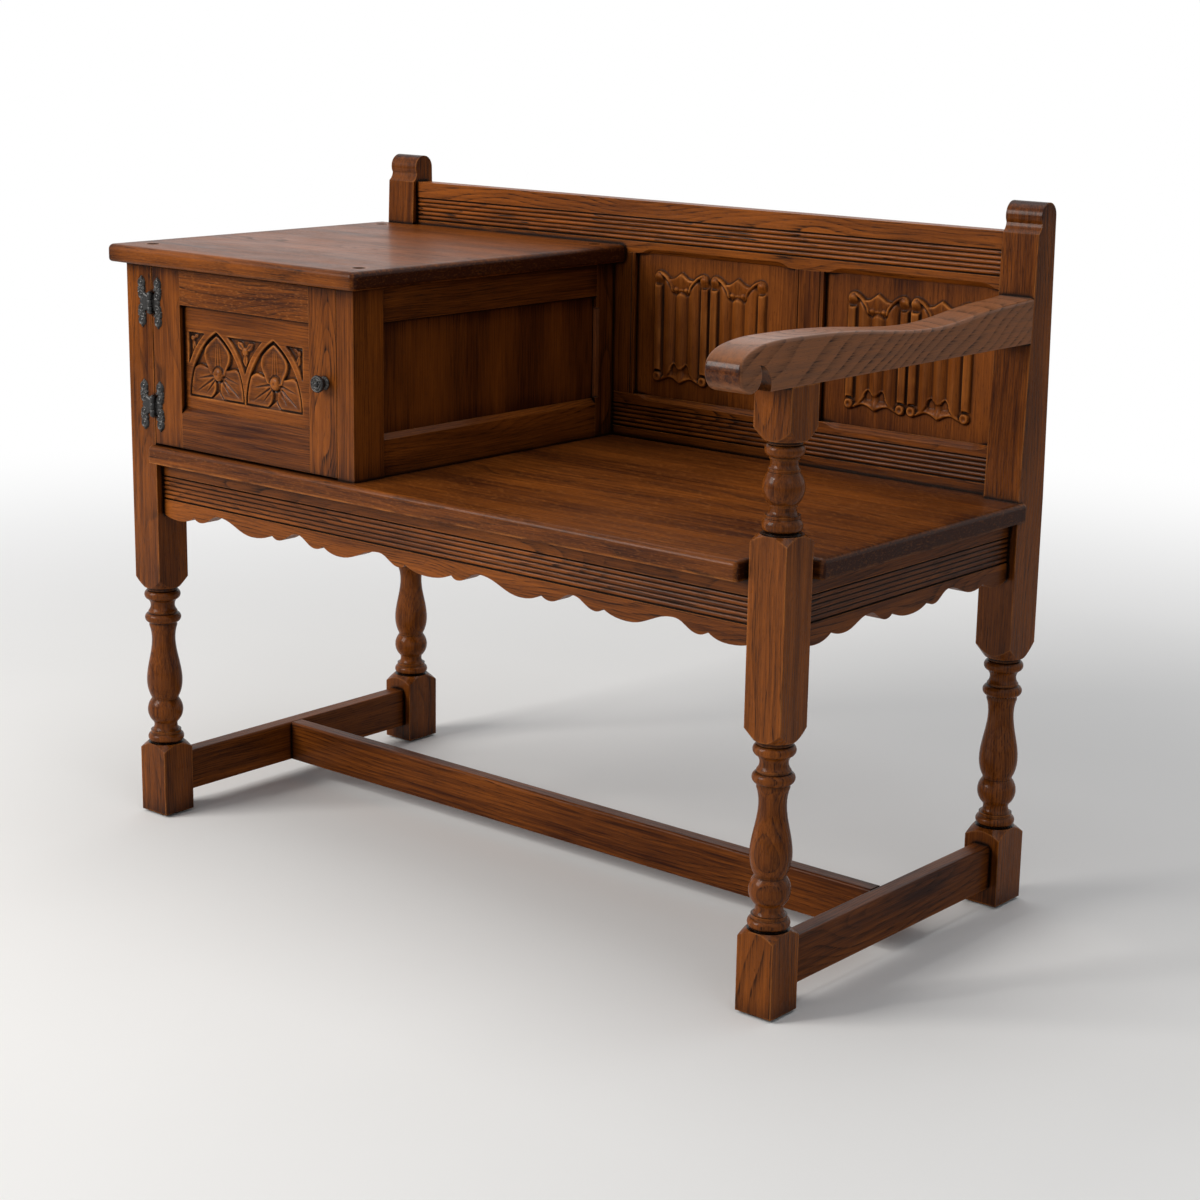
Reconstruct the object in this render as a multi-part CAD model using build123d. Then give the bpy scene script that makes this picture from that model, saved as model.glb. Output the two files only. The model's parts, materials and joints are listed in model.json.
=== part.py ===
from build123d import *
import math
import os

# A telephone bench in oak: a seat with one arm, and a small cupboard with a carved door
# under a table top.  All sizes are in millimetres.  While it is built, x runs across the
# front from the outside of the left legs, y runs back from the front of the front legs,
# and z runs up from the floor.  On writing, everything moves so that the origin lies on
# the floor under the middle of the whole bench.

# --- driving dimensions -------------------------------------------------------------

bench_width = 942.0  # outside to outside of the legs
bench_depth = 465.5  # front of the front legs to back of the back posts
leg_size = 43.0  # front legs, square, and width of the back posts
back_post_depth = 50.0
glide_height = 3.0
glide_radius = 15.0

seat_top = 455.0
seat_thickness = 20.0
seat_front_overhang = 11.0
seat_side_overhang = 5.0
seat_notch_side_gap = 6.0  # beside the front right leg
seat_notch_back_gap = 10.0  # behind the front right leg
seat_lug_back_gap = 8.0  # end of the side overhang, past the front of the back posts
seat_corner_radius = 5.0
seat_edge_radius = 6.0

# Turnings of the legs: height, radius at the bottom, widest or narrowest radius
# (or none, or a list of height and radius on a long curve), radius at the top.
foot_height = 88.5  # middle of a face of the foot block
block_shoulder_slope = 0.85  # fall of a turned shoulder for each millimetre outwards
top_shoulder_slope = 1.3
leg_turning = [
    (0.5, 18.0, None, 18.0),
    (11.0, 16.5, 21.3, 18.0),
    (3.5, 18.0, None, 18.0),
    (10.0, 16.5, 13.8, 14.5),
    (29.0, 14.5, 21.0, 15.5),
    (1.5, 16.0, None, 16.0),
    (88.5, 16.0, [(19.5, 21.0), (67.5, 14.0)], 16.5),
    (4.0, 16.5, None, 16.5),
    (12.0, 16.5, 21.3, 16.5),
    (2.0, 17.0, None, 17.0),
    (14.0, 17.0, 14.2, 17.0),
    (12.0, 16.5, 21.3, 16.5),
    (4.0, 18.0, None, 18.0),
]
support_rise = 26.5  # from the seat to the turning that carries the arm
support_turning = [
    (1.2, 18.0, None, 18.0),
    (14.3, 16.0, 19.8, 16.5),
    (3.0, 17.0, None, 17.0),
    (8.5, 15.5, 13.0, 14.0),
    (1.5, 14.0, None, 14.0),
    (31.0, 14.0, 20.5, 15.0),
    (3.0, 15.5, None, 15.5),
    (9.0, 15.0, 13.2, 14.0),
    (2.5, 14.5, None, 14.5),
    (12.0, 15.5, 19.3, 15.5),
    (3.5, 17.0, None, 17.0),
]
support_block_height = 53.0  # between that turning and the arm

post_rise = 313.0  # from the seat to the top of the posts
post_shoulder_drop = 32.0  # from the top of the roll to the shoulder below it
post_front_lean = 9.5  # from the seat to the shoulder
post_back_lean = 7.5  # from the seat to the roll
post_roll_radius = 14.5
post_cove_height = 10.0

stretcher_bottom = 23.0
stretcher_height = 48.0
side_stretcher_thickness = 22.0
centre_stretcher_thickness = 20.0
centre_stretcher_shift = -5.0  # from the middle between the front and back feet
stretcher_edge_radius = 3.0

apron_thickness = 20.0
apron_recess = 9.0
apron_height = 67.5  # to the lowest lobes
reed_band_drop = 16.5  # plain band above the reeds
reed_count = 5
reed_pitch = 5.3
reed_depth = 1.6
reed_quirk = 1.0  # narrow groove at each side of the reeds
reed_quirk_depth = 2.4

# Scalloped edges, from the middle outwards: distance, height above the lowest lobes,
# and whether the edge runs on smoothly there or turns in a sharp cusp.
front_scallops = [
    (0.0, 0.0, "round"), (34.0, 7.5, "cusp"), (43.0, 3.0, "round"), (74.0, 14.5, "round"),
    (133.0, 0.0, "round"), (160.0, 7.5, "cusp"), (172.5, 3.0, "round"), (202.0, 14.5, "round"),
    (233.0, 3.0, "round"), (242.5, 7.5, "cusp"), (275.0, 0.0, "round"), (332.0, 14.5, "round"),
    (363.5, 3.0, "round"), (374.5, 7.5, "cusp"), (400.0, 0.0, "round"), (428.0, 5.0, "cusp"),
]
side_scallops = [
    (0.0, 0.0, "round"), (32.0, 7.5, "cusp"), (43.0, 3.0, "round"), (72.0, 14.5, "round"),
    (117.0, 3.0, "round"), (138.0, 7.5, "cusp"), (165.0, 0.0, "round"), (186.0, 5.0, "cusp"),
]
back_apron_height = 45.0

tenon_length = 17.0
tenon_share = 0.5  # of the thickness of the piece
tenon_shoulder = 5.0  # above and below a tenon
mortise_clearance = 1.0  # free depth at the end of a mortise

back_rail_inset = 14.5  # back of the rails to the back of the posts' feet
back_rail_thickness = 20.0
back_top_rail_height = 61.0
back_bottom_rail_height = 53.0
back_top_reed_drop = 19.0
back_bottom_reed_rise = 12.0  # plain band below the reeds
back_chamfer = 6.0
back_chamfer_end = 28.0
muntin_width = 39.0
left_muntin_lap = 8.5  # how far the cabinet's side covers the left muntin
centre_muntin_shift = 1.5  # from the middle of what is left of the back
muntin_bead_inset = 5.0
muntin_bead_groove = 1.6
panel_recess = 6.0
panel_thickness = 8.0
panel_groove = 7.0
panel_clearance = 1.0  # at the bottom of each groove

linenfold_margin = 18.5  # above and below the carving
linenfold_motif = 80.0  # width of one folded cloth
linenfold_gap = 2.0
linenfold_relief = 4.6
linenfold_roll = 11.0
linenfold_shifts = (-7.5, -2.0)  # of each carving from the middle of its panel
linenfold_dip = 9.0
linenfold_flute = 2.2
linenfold_roll_drop = 4.0  # the rolls stop short of the cloth's ends
linenfold_ease = 12.0  # how far each wave of the ends runs level from its outer end
linenfold_peak = 16.0  # and how wide the peak between two waves is

cabinet_side_x = 370.5  # outer face of the cabinet's front post
cabinet_post_width = 25.5
cabinet_post_depth = 45.0
cabinet_side_recess = 1.5
cabinet_frame_thickness = 20.0
cabinet_top_rail_height = 39.0
cabinet_bottom_rail_height = 48.0
cabinet_chamfer = 7.0
cabinet_stile_width = 31.0
stile_chamfer = 5.0
stile_chamfer_stop = 14.0  # below the top rail
cabinet_height = 208.0  # from the seat to the cabinet top
top_thickness = 20.0
top_overhang = 16.0
top_corner_radius = 7.0
top_edge_radius = 6.0
top_lower_radius = 4.0
top_post_gap = 0.3
plug_radius = 7.0
plug_depth = 6.0
top_screw_head = 4.0
top_screw_head_radius = 4.5
top_screw_radius = 2.4
top_screw_length = 40.0
front_plug_inset = 21.5
side_plug_inset = 12.5
back_plug_inset = 15.5
left_plug_inset = 14.0
right_back_plug_gap = 21.0  # in front of the back rails
left_back_plug_gap = 34.0

door_thickness = 19.0
door_left_gap = 1.3
door_right_gap = 0.7
door_bottom_gap = 2.0
door_top_gap = 2.5
hinge_stile_width = 46.5
lock_stile_width = 42.5
door_top_rail_height = 39.5
door_bottom_rail_height = 47.0
door_panel_recess = 6.3
door_panel_thickness = 9.0
door_groove = 6.0
door_tenon_length = 25.0
door_chamfer = 7.0

arch_base_rise = 14.0  # above the lower edge of the door's opening
arch_top_margin = 26.0
arch_width = 92.0
arch_gap = 2.0
arch_shift = -5.0  # of both arches from the middle of the panel
arch_depth = 4.5
petal_height = 3.4
flower_share = 0.43  # height of a flower's middle in its arch
flower_boss_radius = 6.5
spandrel_depth = 3.5
spandrel_start = 0.46  # share of the arches' height where the spandrels begin
arch_rib = 4.0
# Petals: turn from upright in degrees, length and width as shares of the arch's width.
petals = ((0.0, 0.44, 0.33), (125.0, 0.48, 0.37), (-125.0, 0.48, 0.37))

hinge_pin_y = 3.6  # axis in front of the door's face
hinge_axis_inset = 0.6  # from the door's edge towards the leg
barrel_radius = 3.3
pin_radius = 1.5
pin_clearance = 0.05
barrel_height = 24.0
barrel_gap = 0.3
leaf_thickness = 1.2
leaf_half_height = 21.5  # middle of the hinge to its outer screws
leaf_inner_screw = 7.8  # middle of the hinge to its inner screws
leaf_end_lobe = 6.5
leaf_inner_lobe = 5.4
leaf_waist = 6.0
post_leaf_offset = 17.7  # hinge axis to the screws in the leg
door_leaf_offset = 9.8  # hinge axis to the screws in the door
leaf_edge_gap = 0.5  # between a leaf's neck and the edge of its wood
hinge_top_distance = 41.0  # middle of the upper hinge to the top of the door
hinge_bottom_distance = 43.5
pin_end = 1.0  # of the pin past each end of the barrel
screw_head_radius = 3.0
screw_dome = 1.5
screw_radius = 1.3
screw_length = 13.0

knob_from_edge = 18.3
knob_radius = 9.5
knob_length = 15.0
knob_neck_radius = 5.0
knob_neck_length = 6.0
knob_shank_radius = 2.5
knob_shank_length = 14.0

arm_width = 42.0
arm_front_reach = 79.0  # in front of the front legs
arm_height = 45.5  # over the arm support
arm_dip_height = 33.5  # at the lowest place of the top
arm_back_height = 47.0
arm_nose_height = 21.0
arm_scroll_radius = 15.5
arm_scroll_back = 60.0  # scroll's middle in front of the front legs
arm_edge_radius = 3.0
arm_tenon_size = 20.0
arm_tenon_height = 18.0

# --- places worked out from them ----------------------------------------------------

inner_left = leg_size
inner_right = bench_width - leg_size
back_foot_front = bench_depth - back_post_depth
seat_bottom = seat_top - seat_thickness
post_top = seat_top + post_rise
post_shoulder = post_top - post_shoulder_drop
support_height = seat_top + support_rise
top_height = seat_top + cabinet_height
arm_underside = support_height + sum(step[0] for step in support_turning) + support_block_height
rail_back = bench_depth - back_rail_inset
rail_face = rail_back - back_rail_thickness
back_rail_top = post_shoulder
left_muntin_x = cabinet_side_x - left_muntin_lap
centre_muntin_x = (left_muntin_x + inner_right) / 2 + centre_muntin_shift
panel_face = rail_face + panel_recess
top_rail_bottom = back_rail_top - back_top_rail_height
bottom_rail_top = seat_top + back_bottom_rail_height
cabinet_frame_face = cabinet_side_x - cabinet_side_recess
cabinet_frame_back = cabinet_frame_face - cabinet_frame_thickness
cabinet_post_x = cabinet_side_x - cabinet_post_width
top_surface = top_height + top_thickness
reed_band = reed_count * reed_pitch + 2 * reed_quirk

door_x0 = inner_left + door_left_gap
door_x1 = cabinet_post_x - door_right_gap
door_z0 = seat_top + door_bottom_gap
door_z1 = top_height - door_top_gap
opening_x0 = door_x0 + hinge_stile_width
opening_x1 = door_x1 - lock_stile_width
opening_z0 = door_z0 + door_bottom_rail_height
opening_z1 = door_z1 - door_top_rail_height
hinge_x = door_x0 - hinge_axis_inset
hinge_y = -hinge_pin_y
hinge_heights = (door_z1 - hinge_top_distance, door_z0 + hinge_bottom_distance)

box_x = (-top_overhang, bench_width + seat_side_overhang)
box_y = (-arm_front_reach, bench_depth)
to_origin = Pos(-sum(box_x) / 2, -sum(box_y) / 2, 0)

pieces = {}


# --- helpers ------------------------------------------------------------------------


def block(x, y, z):
    """A rectangular block between the pairs x, y and z."""
    sizes = [high - low for low, high in (x, y, z)]
    return Pos(x[0], y[0], z[0]) * Box(*sizes, align=(Align.MIN,) * 3)


def prism(edges, direction, length):
    """The face inside the edges, drawn out along a direction."""
    return extrude(make_face(edges), amount=length, dir=direction)


def disc(x, z, radius, y0, y1):
    """A round bar along y."""
    return Pos(x, (y0 + y1) / 2, z) * Rot(90, 0, 0) * Cylinder(radius, y1 - y0)


def pillar(x, y, radius, z0, z1):
    """A round bar along z."""
    return Pos(x, y, (z0 + z1) / 2) * Cylinder(radius, z1 - z0)


def tenon_band(thickness):
    """Front and back of a tenon, from the face of a piece."""
    inset = thickness * (1 - tenon_share) / 2
    return inset, thickness - inset


def deepened(tenon, direction):
    """The mortise for a tenon: the tenon, and a little free depth past its end."""
    step = Vector(*direction) * mortise_clearance
    return tenon + Pos(*step) * tenon


def together(solids):
    """Separate solids as one group."""
    return Compound(children=[solid.solid() for solid in solids])


# --- turned legs --------------------------------------------------------------------


def turned_edges(z, steps):
    """The outline of a turning in the plane y = 0, from the height z, and its top."""
    edges = []
    last = None
    for height, low, middle, high in steps:
        start = (low, 0, z)
        end = (high, 0, z + height)
        if last is not None and abs(last - low) > 0.01:
            edges.append(Line((last, 0, z), start))
        if middle is None:
            edges.append(Line(start, end))
        elif isinstance(middle, list):
            edges.append(Spline(start, *[(r, 0, z + up) for up, r in middle], end))
        else:
            edges.append(ThreePointArc(start, (middle, 0, z + height / 2), end))
        last = high
        z += height
    return edges, z


def turned_blank(sections, top, half):
    """A solid of revolution: wide where the stock stays square, turned in each section.

    A section is the height where its turning starts, and its steps.  Half is half of
    the stock, where the turned shoulders meet the middle of its faces."""
    wide = 2 * half
    edges = [Line((0, 0, glide_height), (wide, 0, glide_height))]
    corner = (wide, 0, glide_height)
    for start, steps in sections:
        shoulder = (wide, 0, start - block_shoulder_slope * (wide - half))
        turning, end = turned_edges(start, steps)
        edges.append(Line(corner, shoulder))
        edges.append(Line(shoulder, (half, 0, start)))
        edges.append(Line((half, 0, start), (steps[0][1], 0, start)))
        edges += turning
        edges.append(Line((steps[-1][3], 0, end), (half, 0, end)))
        corner = (wide, 0, end + top_shoulder_slope * (wide - half))
        edges.append(Line((half, 0, end), corner))
    edges.append(Line(corner, (wide, 0, top)))
    edges.append(Line((wide, 0, top), (0, 0, top)))
    edges.append(Line((0, 0, top), (0, 0, glide_height)))
    return revolve(make_face(edges), Axis.Z, 360)


def front_leg(x, sections, top):
    half = leg_size / 2
    stock = block((x, x + leg_size), (0, leg_size), (glide_height, top))
    return stock & Pos(x + half, half, 0) * turned_blank(sections, top, half)


def post_front(z):
    """How far back the front of a back post lies at a height."""
    share = max(0.0, (z - seat_top) / (post_shoulder - seat_top))
    return back_foot_front + post_front_lean * share


def back_post(x):
    """A back post: leaning above the seat, with a roll at its top."""
    roll_y = bench_depth - post_back_lean - post_roll_radius
    roll_z = post_top - post_roll_radius
    neck_z = post_shoulder + post_cove_height
    neck_y = roll_y - math.sqrt(post_roll_radius**2 - (roll_z - neck_z) ** 2)
    slant = post_roll_radius * math.sqrt(0.5)
    front_y = post_front(post_shoulder)
    foot = (x, back_foot_front, glide_height)
    crown = (x, roll_y, post_top)
    edges = [
        Line(foot, (x, back_foot_front, seat_top)),
        Line((x, back_foot_front, seat_top), (x, front_y, post_shoulder)),
        ThreePointArc(
            (x, front_y, post_shoulder),
            (x, (front_y + neck_y) / 2 + 0.8, (post_shoulder + neck_z) / 2 - 1.2),
            (x, neck_y, neck_z),
        ),
        ThreePointArc((x, neck_y, neck_z), (x, roll_y - slant, roll_z + slant), crown),
        ThreePointArc(
            crown,
            (x, roll_y + slant, roll_z + slant),
            (x, roll_y + post_roll_radius, roll_z),
        ),
        Line((x, roll_y + post_roll_radius, roll_z), (x, bench_depth, seat_top)),
        Line((x, bench_depth, seat_top), (x, bench_depth, glide_height)),
        Line((x, bench_depth, glide_height), foot),
    ]
    stock = prism(edges, (1, 0, 0), leg_size)
    half = leg_size / 2
    axis = Pos(x + half, bench_depth - back_post_depth / 2, 0)
    return stock & axis * turned_blank([(foot_height, leg_turning)], post_top, half)


front_left_leg = front_leg(0, [(foot_height, leg_turning)], top_height)
front_right_leg = front_leg(
    inner_right, [(foot_height, leg_turning), (support_height, support_turning)], arm_underside
)
back_left_post = back_post(0)
back_right_post = back_post(inner_right)
back_left_blank = back_left_post

foot_y = bench_depth - back_post_depth / 2
foot_places = [
    (x, y) for x in (leg_size / 2, bench_width - leg_size / 2) for y in (leg_size / 2, foot_y)
]
pieces["glides"] = together(
    [pillar(x, y, glide_radius, 0, glide_height) for x, y in foot_places]
)

# --- stretchers ---------------------------------------------------------------------

stretcher_z = (stretcher_bottom, stretcher_bottom + stretcher_height)


def side_stretcher(x):
    """A side stretcher, its left face at x, with a tenon at each end."""
    bar = block((x, x + side_stretcher_thickness), (leg_size, back_foot_front), stretcher_z)
    top_edges = bar.edges().filter_by(Axis.Y).group_by(Axis.Z)[-1]
    bar = fillet(top_edges, stretcher_edge_radius)
    near, far = tenon_band(side_stretcher_thickness)
    height = (stretcher_z[0] + tenon_shoulder, stretcher_z[1] - tenon_shoulder)
    front = block((x + near, x + far), (leg_size - tenon_length, leg_size), height)
    back = block(
        (x + near, x + far), (back_foot_front, back_foot_front + tenon_length), height
    )
    return bar + front + back, deepened(front, (0, -1, 0)), deepened(back, (0, 1, 0))


side_inset = (leg_size - side_stretcher_thickness) / 2
left_bar, left_front_mortise, left_back_mortise = side_stretcher(side_inset)
right_bar, right_front_mortise, right_back_mortise = side_stretcher(
    bench_width - side_inset - side_stretcher_thickness
)
front_left_leg -= left_front_mortise
back_left_post -= left_back_mortise
front_right_leg -= right_front_mortise
back_right_post -= right_back_mortise

centre_x = (side_inset + side_stretcher_thickness, bench_width - side_inset - side_stretcher_thickness)
centre_middle = (leg_size + back_foot_front) / 2 + centre_stretcher_shift
centre_y = (
    centre_middle - centre_stretcher_thickness / 2,
    centre_middle + centre_stretcher_thickness / 2,
)
centre_bar = block(centre_x, centre_y, stretcher_z)
centre_bar = fillet(
    centre_bar.edges().filter_by(Axis.X).group_by(Axis.Z)[-1], stretcher_edge_radius
)
centre_tenon = side_stretcher_thickness / 2
centre_near, centre_far = tenon_band(centre_stretcher_thickness)
centre_tenons = [
    block(
        ends,
        (centre_y[0] + centre_near, centre_y[0] + centre_far),
        (stretcher_z[0] + tenon_shoulder, stretcher_z[1] - tenon_shoulder),
    )
    for ends in (
        (centre_x[0] - centre_tenon, centre_x[0]),
        (centre_x[1], centre_x[1] + centre_tenon),
    )
]
pieces["left_stretcher"] = left_bar - deepened(centre_tenons[0], (-1, 0, 0))
pieces["right_stretcher"] = right_bar - deepened(centre_tenons[1], (1, 0, 0))
pieces["centre_stretcher"] = centre_bar + centre_tenons[0] + centre_tenons[1]

# --- reeded rails and aprons --------------------------------------------------------


def reeded_section(y0, y1, z0, z1, band_top):
    """The section of a rail in the plane x = 0, with a band of reeds let into its face."""
    bed = y0 + reed_quirk_depth
    valley = y0 + reed_depth
    edges = [Line((0, y0, z1), (0, y0, band_top)), Line((0, y0, band_top), (0, bed, band_top))]
    z = band_top - reed_quirk
    edges.append(Line((0, bed, band_top), (0, bed, z)))
    edges.append(Line((0, bed, z), (0, valley, z)))
    for _ in range(reed_count):
        edges.append(
            ThreePointArc(
                (0, valley, z), (0, y0, z - reed_pitch / 2), (0, valley, z - reed_pitch)
            )
        )
        z -= reed_pitch
    edges += [
        Line((0, valley, z), (0, bed, z)),
        Line((0, bed, z), (0, bed, z - reed_quirk)),
        Line((0, bed, z - reed_quirk), (0, y0, z - reed_quirk)),
        Line((0, y0, z - reed_quirk), (0, y0, z0)),
        Line((0, y0, z0), (0, y1, z0)),
        Line((0, y1, z0), (0, y1, z1)),
        Line((0, y1, z1), (0, y0, z1)),
    ]
    return edges


def scalloped_edges(length, scallops):
    """The scalloped lower edge of an apron in the plane y = 0, left to right, from z = 0 up.

    The pattern keeps its own sizes, and the last lobes run on to the ends."""
    half = [list(point) for point in scallops]
    stretch = length / 2 / half[-1][0]
    points = [(-d * stretch, h, kind) for d, h, kind in reversed(half[1:])]
    points += [(d * stretch, h, kind) for d, h, kind in half]
    edges = []
    for (x0, z0, kind0), (x1, z1, kind1) in zip(points, points[1:]):
        start = Vector(length / 2 + x0, 0, z0)
        end = Vector(length / 2 + x1, 0, z1)
        run = end.X - start.X
        if kind0 == "round" and kind1 == "round":
            first = start + Vector(0.42 * run, 0, 0)
            second = end - Vector(0.42 * run, 0, 0)
            edges.append(Bezier(start, first, second, end))
        elif kind0 == "round":
            edges.append(Bezier(start, start + Vector(0.62 * run, 0, 0), end))
        else:
            edges.append(Bezier(start, end - Vector(0.62 * run, 0, 0), end))
    return edges


def reeded_apron(length, scallops):
    """An apron with its face at y = 0, its top at z = 0 and its left shoulder at x = 0.

    Also the tenons at its left and right ends."""
    section = reeded_section(0, apron_thickness, -apron_height, 0, -reed_band_drop)
    rail = prism(section, (1, 0, 0), length)
    lower = [Pos(0, 0, -apron_height) * edge for edge in scalloped_edges(length, scallops)]
    left = lower[0] @ 0
    right = lower[-1] @ 1
    outline = lower + [
        Line(right, (length, 0, 0)),
        Line((length, 0, 0), (0, 0, 0)),
        Line((0, 0, 0), left),
    ]
    rail &= prism(outline, (0, 1, 0), apron_thickness)
    near, far = tenon_band(apron_thickness)
    height = (-apron_height + 4 * tenon_shoulder, -tenon_shoulder)
    tenons = [
        block((-tenon_length, 0), (near, far), height),
        block((length, length + tenon_length), (near, far), height),
    ]
    return rail + tenons[0] + tenons[1], tenons


def placed_apron(place, length, scallops):
    rail, tenons = reeded_apron(length, scallops)
    mortises = [
        place * deepened(tenons[0], (-1, 0, 0)),
        place * deepened(tenons[1], (1, 0, 0)),
    ]
    return place * rail, mortises


side_length = back_foot_front - leg_size
front_place = Pos(leg_size, apron_recess, seat_bottom)
right_place = Pos(bench_width - apron_recess, leg_size, seat_bottom) * Rot(0, 0, 90)
left_place = Pos(apron_recess, back_foot_front, seat_bottom) * Rot(0, 0, -90)
pieces["front_apron"], mortises = placed_apron(
    front_place, inner_right - inner_left, front_scallops
)
front_left_leg -= mortises[0]
front_right_leg -= mortises[1]
pieces["right_apron"], mortises = placed_apron(right_place, side_length, side_scallops)
front_right_leg -= mortises[0]
back_right_post -= mortises[1]
pieces["left_apron"], mortises = placed_apron(left_place, side_length, side_scallops)
back_left_post -= mortises[0]
front_left_leg -= mortises[1]


def cross_tenons(y0, thickness, z0, z1):
    """Tenons of a back rail into the two back posts."""
    near, far = tenon_band(thickness)
    height = (z0 + tenon_shoulder, z1 - tenon_shoulder)
    depth = (y0 + near, y0 + far)
    return [
        block((inner_left - tenon_length, inner_left), depth, height),
        block((inner_right, inner_right + tenon_length), depth, height),
    ]


def into_back_posts(tenons):
    """The back posts with mortises for the tenons of a back rail."""
    left = back_left_post - deepened(tenons[0], (-1, 0, 0))
    right = back_right_post - deepened(tenons[1], (1, 0, 0))
    return left, right


back_apron = block(
    (inner_left, inner_right), (rail_face, rail_back), (seat_bottom - back_apron_height, seat_bottom)
)
tenons = cross_tenons(
    rail_face, back_rail_thickness, seat_bottom - back_apron_height, seat_bottom
)
pieces["back_apron"] = back_apron + tenons[0] + tenons[1]
back_left_post, back_right_post = into_back_posts(tenons)

# --- seat board ---------------------------------------------------------------------

seat_left = -seat_side_overhang
seat_right = bench_width + seat_side_overhang
seat_front = -seat_front_overhang
notch_x = inner_right - seat_notch_side_gap
notch_y = leg_size + seat_notch_back_gap
lug_y = back_foot_front + seat_lug_back_gap
seat_points = [
    (inner_left, seat_front),
    (notch_x, seat_front),
    (notch_x, notch_y),
    (seat_right, notch_y),
    (seat_right, lug_y),
    (bench_width, lug_y),
    (bench_width, back_foot_front),
    (inner_right, back_foot_front),
    (inner_right, rail_back),
    (inner_left, rail_back),
    (inner_left, back_foot_front),
    (0, back_foot_front),
    (0, lug_y),
    (seat_left, lug_y),
    (seat_left, leg_size),
    (inner_left, leg_size),
]
seat_outline = make_face(Polyline(*seat_points, close=True))
seat_board = extrude(Pos(0, 0, seat_bottom) * seat_outline, seat_thickness, dir=(0, 0, 1))


def upright_edge(solid, x, y):
    """The upright edge of a board nearest to a place."""
    edges = solid.edges().filter_by(Axis.Z)
    return edges.sort_by_distance((x, y, (seat_bottom + seat_top) / 2))[0]


rounded_corners = [
    upright_edge(seat_board, notch_x, seat_front),
    upright_edge(seat_board, seat_right, notch_y),
    upright_edge(seat_board, notch_x, notch_y),
]
seat_board = fillet(rounded_corners, seat_corner_radius)


def top_edges_at(solid, height, keep):
    """Edges at a height whose middle is in a region."""
    found = []
    for edge in solid.edges():
        middle = edge @ 0.5
        ends = (edge @ 0, edge @ 1)
        level = all(abs(end.Z - height) < 0.01 for end in ends)
        if level and keep(middle):
            found.append(edge)
    return found


def seat_front_edge(point):
    front = point.Y < notch_y + 1 and point.X > inner_left + 1
    side = point.X > seat_right - 1 and point.Y < lug_y
    return front or side


seat_board = fillet(top_edges_at(seat_board, seat_top, seat_front_edge), seat_edge_radius)
pieces["seat_board"] = seat_board

# --- the panelled back --------------------------------------------------------------

back_grooves = (panel_face, panel_face + panel_thickness)
groove_depth = panel_groove + panel_clearance


def stopped_chamfer(x0, x1, z, up):
    """The cutter for a chamfer on the front edge of a back rail, at the height z.

    It fades out at both ends in an ogee; up is 1 on a lower edge and -1 on an upper."""
    y = rail_face
    size = back_chamfer * up
    start, start_bend = x0 + back_chamfer_end, x0 + back_chamfer_end / 2
    stop, stop_bend = x1 - back_chamfer_end, x1 - back_chamfer_end / 2
    inner = z + size
    outside = -1.0 * up
    rise = [
        Bezier((x0, y, z), (start_bend, y, z), (start_bend, y, inner), (start, y, inner)),
        Line((start, y, inner), (stop, y, inner)),
        Bezier((stop, y, inner), (stop_bend, y, inner), (stop_bend, y, z), (x1, y, z)),
    ]
    frame = [
        Line((x1, y, z), (x1, y, z + outside)),
        Line((x1, y, z + outside), (x0, y, z + outside)),
        Line((x0, y, z + outside), (x0, y, z)),
    ]
    face = make_face(rise + frame)
    reach = 2 * back_chamfer
    slope = Vector(0, 1, -up)
    return extrude(face, reach, dir=slope) + extrude(face, reach, dir=-slope)


panel_spans = [
    (inner_left, left_muntin_x),
    (left_muntin_x + muntin_width, centre_muntin_x),
    (centre_muntin_x + muntin_width, inner_right),
]

section = reeded_section(
    rail_face, rail_back, top_rail_bottom, back_rail_top, back_rail_top - back_top_reed_drop
)
top_rail = prism([Pos(inner_left, 0, 0) * edge for edge in section], (1, 0, 0), inner_right - inner_left)
section = reeded_section(
    rail_face, rail_back, seat_top, bottom_rail_top, seat_top + back_bottom_reed_rise + reed_band
)
bottom_rail = prism(
    [Pos(inner_left, 0, 0) * edge for edge in section], (1, 0, 0), inner_right - inner_left
)
top_rail -= block(
    (inner_left, inner_right), back_grooves, (top_rail_bottom, top_rail_bottom + groove_depth)
)
bottom_rail -= block(
    (inner_left, inner_right), back_grooves, (bottom_rail_top - groove_depth, bottom_rail_top)
)
for x0, x1 in panel_spans:
    top_rail -= stopped_chamfer(x0, x1, top_rail_bottom, 1)
    bottom_rail -= stopped_chamfer(x0, x1, bottom_rail_top, -1)

for rail, z0, z1, name in (
    (top_rail, top_rail_bottom + groove_depth, back_rail_top, "back_top_rail"),
    (bottom_rail, seat_top, bottom_rail_top - groove_depth, "back_bottom_rail"),
):
    tenons = cross_tenons(rail_face, back_rail_thickness, z0, z1)
    pieces[name] = rail + tenons[0] + tenons[1]
    back_left_post, back_right_post = into_back_posts(tenons)

for post_x in (inner_left - groove_depth, inner_right):
    groove = block(
        (post_x, post_x + groove_depth),
        back_grooves,
        (bottom_rail_top - groove_depth, top_rail_bottom + groove_depth),
    )
    back_left_post -= groove
    back_right_post -= groove


def muntin(x):
    """An upright of the back: stub tenons in the panel grooves, a bead down each edge."""
    bar = block((x, x + muntin_width), (rail_face, rail_back), (bottom_rail_top, top_rail_bottom))
    stub = block(
        (x, x + muntin_width),
        back_grooves,
        (bottom_rail_top - panel_groove, top_rail_bottom + panel_groove),
    )
    bar += stub
    for side in (x, x + muntin_width - groove_depth):
        bar -= block(
            (side, side + groove_depth),
            back_grooves,
            (bottom_rail_top - groove_depth, top_rail_bottom + groove_depth),
        )
    for bead in (x + muntin_bead_inset, x + muntin_width - muntin_bead_inset):
        bar -= pillar(bead, rail_face, muntin_bead_groove / 2, bottom_rail_top, top_rail_bottom)
    return bar


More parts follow.
